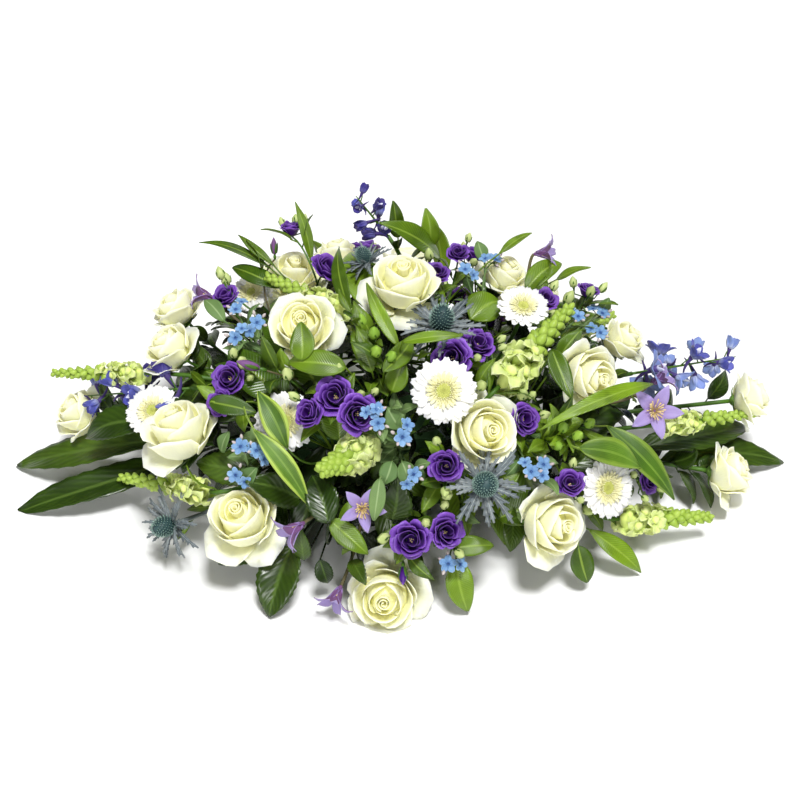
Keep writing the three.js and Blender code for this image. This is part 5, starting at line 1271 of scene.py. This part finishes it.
def delphinium(piece, R, length):
    """A loose spike of spurred florets, each on a short stalk."""
    line = np.array([[0, 0, z * length] for z in (0, 0.35, 0.7, 1.0)])
    piece.tube(line, [1.6, 1.4, 1.0, 0.6], "stem", 7)
    florets = max(8, min(11, int(length / 9 + 0.5)))
    open_most, scale, names = LARKSPURS[piece.name.removesuffix("_look")]
    for k in range(florets):
        a, s = TURN * k, k / (florets - 1)
        big = scale * R * (1 - 0.3 * s)
        axis = unit(about(a, 1, 0.4))
        height = length * (0.06 + 0.84 * s)
        centre = np.array([0, 0, height]) + axis * 0.46 * big
        openness = open_most * (1 - 0.7 * s) + piece.random.uniform(-0.08, 0.12)
        trumpet(piece, centre, axis, a, big, max(openness, 0.08), names[k % 3])
        foot = np.array([0, 0, height - 0.1 * big])
        middle = (foot + centre) / 2 - [0, 0, 0.04 * big]
        piece.tube([foot, middle, centre - axis * 0.05 * big], [0.9, 0.7, 0.7], "stem", 5)


def bloom_into(piece, bloom, look):
    piece.stand(*standing(bloom.at, bloom.axis, bloom.spin))
    form, R = bloom.form, bloom.size / 2
    if form in SPIKES:
        spike = snapdragon if form == "snapdragon" else delphinium
        spike(piece, R, bloom.length)
    elif form in ("open", "bell"):
        clematis(piece, R, form == "bell")
    elif form == "bud":
        bud(piece, 1.25 * R, 0.55, "bud_green" if look != "green" else "alstroemeria")
    elif form == "slim_bud":
        bud(piece, R, 0.3, "clematis_back" if look == "clematis" else "lisianthus")
    else:
        flower = {"rose": rose, "lisianthus": lisianthus, "gerbera": gerbera, "sea_holly": sea_holly,
                  "tweedia": tweedia}[form]
        flower(piece, R)
    piece.stand()


STEM_LOOKS = {"sea_holly": "sea_holly", "tweedia": "tweedia_leaf", "clematis": "stem_brown"}
LEAF_LOOKS = {"tweedia": "tweedia_leaf", "dark": "leaf_dark", "green": "leaf"}
# The points along a stem that carries leaves, and the share of it between the lowest and the highest leaf
STEM_STEPS = 24
LEAVES_FROM, LEAVES_TO = 0.05, 0.92
STALK, LOWEST_TIP = 7, 6


def stem_into(piece, route, look):
    start, control, end, first, last = route
    line = bow(start, control, end, 10)
    piece.tube(line, np.linspace(first, last, 11), STEM_LOOKS.get(look, "stem"))


STEM_LEAVES = {
    # leaves on a flower's stem: how many, and the length and width of each
    "rose": (11, 44, 25), "lisianthus": (8, 36, 16), "snapdragon": (8, 36, 9), "gerbera": (0, 0, 0),
    "clematis": (8, 36, 18), "delphinium": (6, 34, 12), "tweedia": (5, 26, 12), "green": (7, 42, 15),
    "sea_holly": (4, 34, 10), "dark": (0, 0, 0),
}


def head_balls(plants):
    """The middles and radii of the heads that no leaf may pierce or stand in front of."""
    rows = []
    for plant in plants:
        for bloom in plant.blooms:
            if bloom.form not in ("snapdragon", "delphinium", "bud", "slim_bud"):
                rows.append([*(bloom.at + bloom.axis * 0.1 * bloom.size), 0.46 * bloom.size])
    return np.array(rows)


HEAD_DEPTH = 60


def hides_head(points, heads):
    """Whether any of the points is in a head, or not far in front of its middle."""
    gaps = points[:, None, :] - heads[None, :, :3]
    ahead = np.clip(gaps @ TO_EYE, 0, HEAD_DEPTH)
    across = np.linalg.norm(gaps - ahead[..., None] * TO_EYE, axis=2)
    return bool((across < np.where(ahead > 0, 0.85, 1) * heads[:, 3]).any())


def in_foam(p):
    return abs(p[0]) <= FOAM_LENGTH / 2 and abs(p[1]) <= FOAM_WIDTH / 2 and p[2] <= FOAM_TOP


def stem_leaves_into(piece, route, look, heads):
    """Leaves along the part of a stem that stands clear of the foam, the lower ones in the dark leaf material
    as painted shade inside the mass, but for those that would hide or pierce a head."""
    count, length, width = STEM_LEAVES[look]
    line = bow(*route[:3], STEM_STEPS)
    clear = [k for k, p in enumerate(line) if not in_foam(p)]
    draw = piece.random
    if not clear:
        return
    low, high = clear[0], STEM_STEPS
    for k in range(count):
        way_up = ((k + draw.uniform(0.2, 0.8)) / count) ** 0.75
        at = int(low + (high - low) * (LEAVES_FROM + (LEAVES_TO - LEAVES_FROM) * way_up))
        at = min(at, STEM_STEPS - 1)
        along = unit(line[at + 1] - line[at])
        a = TURN * k + draw.uniform(0, 2 * pi)
        side = unit(np.cross(along, UP) + 1e-6)
        out = cos(a) * side + sin(a) * np.cross(along, side)
        reach = unit(out + along * draw.uniform(0.5, 1.1))
        long = length * draw.uniform(0.75, 1.1)
        foot, base = line[at], line[at] + reach * STALK
        tip = base + reach * long
        if tip[2] < LOWEST_TIP:
            tip[2] = LOWEST_TIP + draw.uniform(0, 8)
        middles = base + (tip - base) * np.array([[0.25], [0.6], [1.0]])
        if hides_head(middles, heads):
            continue
        normal = unit(along + UP * 0.8 - out * 0.2)
        leaf_look_name = LEAF_LOOKS.get(look, "leaf_veined" if look == "rose" else "leaf")
        # Painted shade: the lower leaves of a stem take the dark leaf material, so that the inside of the
        # mass looks shaded
        if leaf_look_name in ("leaf", "leaf_veined") and way_up < 0.6:
            leaf_look_name = "leaf_dark"
        piece.tube([foot, base, base + reach * 3], [0.9, 0.8, 0.7], leaf_look_name, 5)
        form = "leaf" if look in ("rose", "clematis") else "long"
        wide, arch = width * draw.uniform(0.85, 1.1), draw.uniform(0.02, 0.12)
        grid = leaf_grid(base, tip, wide, normal, arch, form, draw, 0.08, n=10, m=5 if look == "rose" else 3)
        piece.sheet(grid, leaf_look_name, thick=0.7)


SIDE_BUDS, LOWEST_BUD = 3, 12


def side_buds_into(piece, bloom, heads):
    """Pale closed buds on thin stems beside a lisianthus flower, where no other head stands."""
    draw = piece.random
    turn, origin = standing(bloom.at, bloom.axis, bloom.spin)
    R = bloom.size / 2
    others = heads[np.linalg.norm(heads[:, :3] - bloom.at, axis=1) > 0.3 * R]
    for k in range(SIDE_BUDS):
        a = 2.1 * k + draw.uniform(0, 2 * pi)
        size = draw.uniform(4.2, 5.6)
        reach = R + size + draw.uniform(0, 4)
        side = about(a, 1, 0)
        at = side * reach + [0, 0, draw.uniform(-0.1, 0.35) * R]
        axis = unit(side * 0.5 + [0, 0, 1])
        world = turn @ at + origin
        if world[2] < LOWEST_BUD or hides_head(np.array([world, world + turn @ axis * 3 * size]), others):
            continue
        foot = np.array([0, 0, -0.68 * R])
        piece.stand(turn, origin)
        piece.tube([foot, foot + side * 0.7 * reach, at - axis * 6, at], [0.9, 0.8, 0.7, 0.9], "stem", 6)
        piece.seat(at, axis, a)
        bud(piece, 1.9 * size, 0.5, "bud_green")
    piece.stand()


def blade_into(piece, blade, look, faded):
    """A leaf and its stalk. A broad dark one is toothed and veined, and a faded one has a fainter rim."""
    end, tip, radius = blade["base"], blade["tip"], blade["radius"]
    line = np.vstack([bow(*blade["stalk"], 8), end + unit(tip - end) * 6])
    piece.tube(line, np.linspace(radius, 0.7 * radius, 10), look, 7)
    toothed = look == "leaf_dark" and blade["form"] != "long"
    grid = leaf_grid(end, tip, blade["width"], blade["normal"], blade["arch"], blade["form"], piece.random,
                     0.11 if look == "tweedia_leaf" else 0.075, serration=0.07 if toothed else 0)
    piece.sheet(grid, "leaf_veined" if toothed else look, thick=0.9, heart=0.6 if faded else 0.0)


FIRST_SEED = 1000
# The blades that are variegated, by plant and number
VARIEGATED = {("foliage_middle", 0), ("foliage_middle", 1), ("foliage_side", 0), ("foliage_side", 1)}
SLOTS = {
    "rose": "rose_petal", "gerbera": "gerbera_petal", "lisianthus": "lisianthus_petal",
    "snapdragon": "snapdragon_floret", "delphinium": "delphinium_floret", "tweedia": "tweedia_petal",
    "clematis": "clematis_petal", "sea": "sea_holly_bract", "alstroemeria": "alstroemeria_leaf",
    "foliage": "leaf",
}


def build_plant(plant, index, heads):
    piece = Piece(plant.name + "_look", FIRST_SEED + index)
    if plant.root:
        start, top = plant.root
        piece.tube([start, (start + top) / 2, top], [2.6, 2.5, 2.4], STEM_LOOKS.get(plant.look, "stem"))
    for bloom in plant.blooms:
        stem_into(piece, bloom.stem, plant.look)
        stem_leaves_into(piece, bloom.stem, plant.look, heads)
        bloom_into(piece, bloom, plant.look)
    for bloom in plant.blooms:
        if bloom.form == "lisianthus":
            side_buds_into(piece, bloom, heads)
    for number, blade in enumerate(plant.blades):
        variegated = (plant.name, number) in VARIEGATED
        look = "leaf_variegated" if variegated else LEAF_LOOKS.get(plant.look, "leaf")
        blade_into(piece, blade, look, plant.name == "foliage_side")
    piece.make(SLOTS[plant.name.split("_")[0]], plant.name)


# Materials

def linear(c):
    """The linear value that a shader takes for one of 0 to 255 on a screen."""
    return ((c / 255 + 0.055) / 1.055) ** 2.4 if c > 10 else c / 255 / 12.92


def palette(codes):
    """The linear colours of screen colours such as e4ea9c."""
    return [tuple(map(linear, bytes.fromhex(code))) for code in codes.split()]


BLACK, GREY, WHITE = (0, 0, 0), (0.7, 0.7, 0.7), (1, 1, 1)
# How far light spreads under a petal's surface, in metres for red, green and blue
SOFT_RADIUS = (0.008, 0.007, 0.004)
SHEEN_ROUGHNESS = 0.4
BUMP_HEIGHT = 0.0004
MATERIALS = {}


class Look:
    """A material made of nodes, with what its colours can follow: across, along, the marks and the place."""

    def __init__(self, name, roughness=0.6, specular=0.3, soft=0.0, sheen=0.0):
        self.name = name
        self.material = bpy.data.materials.new(name + "_surface")
        self.material.use_nodes = True
        self.tree = self.material.node_tree
        self.shader = self.tree.nodes["Principled BSDF"]
        self.set(self.shader, "Roughness", roughness)
        self.set(self.shader, "Specular IOR Level", specular)
        if soft:
            self.set(self.shader, "Subsurface Weight", soft)
            self.set(self.shader, "Subsurface Radius", SOFT_RADIUS)
            self.set(self.shader, "Subsurface Scale", 1.0)
        if sheen:
            self.set(self.shader, "Sheen Weight", sheen)
            self.set(self.shader, "Sheen Roughness", SHEEN_ROUGHNESS)
        uv = self.node("ShaderNodeUVMap", uv_map="UVMap")
        mark = self.node("ShaderNodeUVMap", uv_map="mark")
        self.across, self.along = self.split(uv)
        self.draw, self.heart = self.split(mark)
        self.place = self.node("ShaderNodeTexCoord").outputs["Object"]

    @staticmethod
    def set(node, name, value):
        node.inputs[name].default_value = value

    def node(self, kind, **settings):
        made = self.tree.nodes.new(kind)
        for key, value in settings.items():
            setattr(made, key, value)
        return made

    def link(self, source, target):
        self.tree.links.new(source, target)

    def split(self, uv):
        parts = self.node("ShaderNodeSeparateXYZ")
        self.link(uv.outputs["UV"], parts.inputs[0])
        return parts.outputs[0], parts.outputs[1]

    def math(self, operation, a, b=0.0):
        made = self.node("ShaderNodeMath", operation=operation)
        for socket, value in zip(made.inputs, (a, b)):
            if isinstance(value, (int, float)):
                socket.default_value = value
            else:
                self.link(value, socket)
        return made.outputs[0]

    def times(self, a, b):
        return self.math("MULTIPLY", a, b)

    def ramp(self, value, stops):
        made = self.node("ShaderNodeValToRGB")
        points = made.color_ramp.elements
        while len(points) < len(stops):
            points.new(0.5)
        for point, (position, colour) in zip(points, stops):
            point.position = position
            point.color = (*colour, 1)
        self.link(value, made.inputs[0])
        return made.outputs[0]

    def mix(self, share, a, b):
        """From a to b, each a colour or what another node gives."""
        made = self.node("ShaderNodeMix", data_type="RGBA", blend_type="MIX")
        for socket, value in ((made.inputs[0], share), (made.inputs[6], a), (made.inputs[7], b)):
            if isinstance(value, tuple):
                socket.default_value = (*value, 1)
            else:
                self.link(value, socket)
        return made.outputs[2]

    def noise(self, scale, detail=3.0):
        made = self.node("ShaderNodeTexNoise")
        self.set(made, "Scale", scale)
        self.set(made, "Detail", detail)
        self.link(self.place, made.inputs["Vector"])
        return made.outputs["Fac"]

    def off_middle(self):
        """0 on the rib and 1 at the rims."""
        return self.math("ABSOLUTE", self.times(self.math("SUBTRACT", self.across, 0.5), 2.0))

    def veins(self, count, slant):
        """Fine lines that run off the rib at a slant, or along the blade where the slant is 0."""
        lines = self.times(self.off_middle(), float(slant or count))
        if slant:
            lines = self.math("SUBTRACT", self.times(self.along, float(count)), lines)
        wave = self.math("SINE", self.times(lines, 2 * pi))
        return self.times(self.math("ADD", wave, 1.0), 0.5)

    def bump(self, height, strength):
        made = self.node("ShaderNodeBump")
        self.set(made, "Strength", strength)
        self.set(made, "Distance", BUMP_HEIGHT)
        self.link(height, made.inputs["Height"])
        self.link(made.outputs[0], self.shader.inputs["Normal"])

    def done(self, colour):
        self.link(colour, self.shader.inputs["Base Color"])
        MATERIALS[self.name] = self.material


def petal_look(name, codes, roughness=0.55, soft=0.12, veins=9, heart_share=0.7, sheen=0.15):
    """A petal from its base to its tip, towards another colour in the flower's heart."""
    base, middle, tip, heart, dark = palette(codes)
    look = Look(name, roughness, 0.25, soft, sheen)
    colour = look.ramp(look.along, [(0.0, base), (0.5, middle), (0.82, middle), (1.0, tip)])
    colour = look.mix(look.times(look.heart, heart_share), colour, heart)
    colour = look.mix(look.times(look.draw, 0.3), colour, dark)
    colour = look.mix(look.times(look.veins(veins, 0), 0.10), colour, dark)
    colour = look.mix(look.times(look.noise(90), 0.22), colour, dark)
    look.bump(look.veins(veins, 0), 0.25)
    look.done(colour)


def leaf_look(name, codes, roughness=0.38, count=22, slant=4, wash=0.5):
    """A leaf with a pale rib and slanting or long veins. With a fifth colour it has a bright rim, which fades
    where the mark's heart is high."""
    blade, pale, dark, rib, *rim = palette(codes)
    look = Look(name, roughness, 0.42, 0.05)
    colour = look.mix(look.draw, blade, pale)
    veins = look.veins(count, slant)
    colour = look.mix(look.times(veins, 0.25), colour, dark)
    blotch = look.ramp(look.noise(35), [(0.35, BLACK), (0.7, WHITE)])
    colour = look.mix(look.times(blotch, wash), colour, dark)
    near_rib = look.ramp(look.off_middle(), [(0.0, WHITE), (0.07, GREY), (0.13, BLACK)])
    colour = look.mix(look.times(near_rib, 0.6), colour, rib)
    if rim:
        wobble = look.math("ADD", look.off_middle(), look.times(look.noise(60), 0.3))
        wobble = look.math("ADD", wobble, look.times(veins, 0.12))
        near_rim = look.ramp(wobble, [(0.84, BLACK), (1.0, WHITE)])
        share = look.times(near_rim, look.math("SUBTRACT", 0.9, look.heart))
        colour = look.mix(share, colour, rim[0])
    look.bump(veins, 0.5)
    look.done(colour)


def plain_look(name, codes, roughness=0.5, scale=120, share=0.5, specular=0.3):
    """One colour, with darker blotches of a scale and a share."""
    colour, dark = palette(codes)
    look = Look(name, roughness, specular)
    mixed = look.mix(look.times(look.draw, 0.4), colour, dark)
    mixed = look.mix(look.times(look.noise(scale), share), mixed, dark)
    look.bump(look.noise(scale * 4), 0.2)
    look.done(mixed)


# Petals: base, middle, tip, heart, dark. Leaves: blade, pale, dark, rib, rim. Others: colour, dark.
petal_look("rose", "e4ea9c fcfcd4 fefeea fff6a6 f0f2bc", soft=0.5)
petal_look("gerbera", "f6f6d6 fdfcf8 fffffd fcfaec e8e5d8", veins=3, soft=0.3)
petal_look("fringe", "ece8a0 f6f4ce fcfbea eeeab0 ded896", veins=2)
petal_look("lisianthus", "1a0430 4a1882 905cce 2e0c56 240846", veins=7, heart_share=0.6, roughness=0.4,
           soft=0.06, sheen=0.04)
petal_look("floret", "bed260 deea96 f4f6c8 e2ec8c b2c85c", veins=4, soft=0.3)
petal_look("clematis", "9076ac a696ca b4a6d2 967cae 684c8e", veins=5)
petal_look("clematis_back", "7e5484 785084 8c68a2 744c78 522e58", veins=5)
petal_look("larkspur", "b0b8de 545cb4 44429e 4a4aaa 2c2674", veins=3, heart_share=0.3)
petal_look("larkspur_pale", "ced8ee 88a0d4 687ec2 7486cc 4246a0", veins=3, heart_share=0.3)
petal_look("larkspur_dark", "7874ba 40388c 3a3080 383286 221a54", veins=3, heart_share=0.3)
petal_look("larkspur_back", "544688 463674 3a2c60 3e327c 2a1e50", veins=4)
petal_look("tweedia", "547caa 84aad0 bad4ee 608aba 4a72a4", veins=3, heart_share=0.6)
petal_look("tweedia_back", "aaa4b8 969cba 8494ba 9c92ae 7a7496", veins=3)
plain_look("tweedia_eye", "3c60a6 243a7c")
plain_look("tweedia_bud", "cec6be 9e8a96", 0.6)
plain_look("bee", "ececf4 c4c8e6")
plain_look("disc", "ced078 9ca44a", 0.7, 300, 0.6)
plain_look("anther", "e6d496 be9860", 0.7)
plain_look("calyx", "70943e 426222")
plain_look("stem", "547c26 264410", 0.42, 60, 0.6)
plain_look("stem_brown", "68643e 463a2e", 0.5, 60, 0.6)
plain_look("lime", "b0c858 688a20", 0.42, 80, 0.5)
plain_look("bud_green", "c6d08e 8ea650", 0.42, 80, 0.4)
plain_look("alstroemeria", "9cbe46 628e2a", 0.42, 80, 0.5)
leaf_look("sea_holly", "667278 969ea0 323e46 ced4ce", roughness=0.36, count=5, slant=0)
plain_look("sea_holly_head", "385454 1c2c32", 0.5, 120, 0.5)
plain_look("sea_holly_tip", "a0beb0 60847e", 0.5, 120, 0.3)
leaf_look("leaf", "38560c 80a224 162804 90aa40", roughness=0.31)
# leaf_dark is partly the own colour of dark glossy leaves and partly painted shade: it is darkened further so
# that the inside of the mass looks shaded
leaf_look("leaf_dark", "0f1b06 1e2e0b 040a02 2a3e14", roughness=0.27, count=14, slant=0)
leaf_look("leaf_veined", "22380c 48621a 0a1703 56702e", roughness=0.3, count=9, slant=3)
leaf_look("leaf_variegated", "3c6212 648a24 1a3406 789838 a6be4e", count=8, slant=0)
leaf_look("tweedia_leaf", "5c7c42 7e9a5a 325022 9eb47e", roughness=0.6, wash=0.3)


def dress_tray_and_foam():
    plain_look("tray_plastic", "1e3e24 122818", 0.35, 20, 0.2, 0.5)
    plain_look("wet_foam", "3a5c32 1a321a", 0.9, 500, 0.8)
    for node, name in (("tray", "tray_plastic"), ("foam", "wet_foam")):
        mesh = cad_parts[node].data
        mesh.materials.clear()
        mesh.materials.append(MATERIALS[name])


# Floor, light and camera

FLOOR_SIZE, FLOOR_WHITE, FLOOR_ROUGHNESS = 30, 0.88, 0.9
WORLD_STRENGTH = 0.06
SUNS = [
    # name, the direction towards it, its spread in degrees and its strength
    ("top", (0.12, -0.32, 1), 14, 3.5),
    ("front", (-0.25, -1, 0.5), 18, 1.3),
    ("back", (0.3, 0.5, 1), 20, 0.75),
]
SENSOR = 36


def stage():
    bpy.ops.mesh.primitive_plane_add(size=FLOOR_SIZE)
    floor = bpy.context.object
    floor.name = "floor"
    white = bpy.data.materials.new("floor_white")
    white.use_nodes = True
    shader = white.node_tree.nodes["Principled BSDF"]
    shader.inputs["Base Color"].default_value = (FLOOR_WHITE, FLOOR_WHITE, FLOOR_WHITE, 1)
    shader.inputs["Roughness"].default_value = FLOOR_ROUGHNESS
    floor.data.materials.append(white)


def soft_sun(name, towards, spread, strength):
    """Even light over the whole floor from far off in one direction, as from a large soft box."""
    data = bpy.data.lights.new(name, "SUN")
    data.angle, data.energy = radians(spread), strength
    lamp = bpy.data.objects.new(name, data)
    lamp.rotation_euler = Vector(towards).to_track_quat("Z", "Y").to_euler()
    bpy.context.scene.collection.objects.link(lamp)


def light():
    world = bpy.data.worlds.new("studio")
    world.use_nodes = True
    background = world.node_tree.nodes["Background"]
    background.inputs["Color"].default_value = (1, 1, 1, 1)
    background.inputs["Strength"].default_value = WORLD_STRENGTH
    bpy.context.scene.world = world
    for sun in SUNS:
        soft_sun(*sun)
    bpy.context.scene.view_settings.view_transform = "Standard"
    bpy.context.scene.view_settings.look = "None"


def camera():
    data = bpy.data.cameras.new("camera")
    data.sensor_width = SENSOR
    data.lens = SENSOR * FOCAL / (2 * MIDDLE)
    data.clip_end = 60
    made = bpy.data.objects.new("camera", data)
    made.location = EYE * MM
    made.rotation_euler = (pi / 2 - ELEVATION, 0, 0)
    bpy.context.scene.collection.objects.link(made)
    bpy.context.scene.camera = made


camera()
stage()
light()
dress_tray_and_foam()
plants = run_stems(arrange())
heads = head_balls(plants)
for index, plant in enumerate(plants):
    build_plant(plant, index, heads)
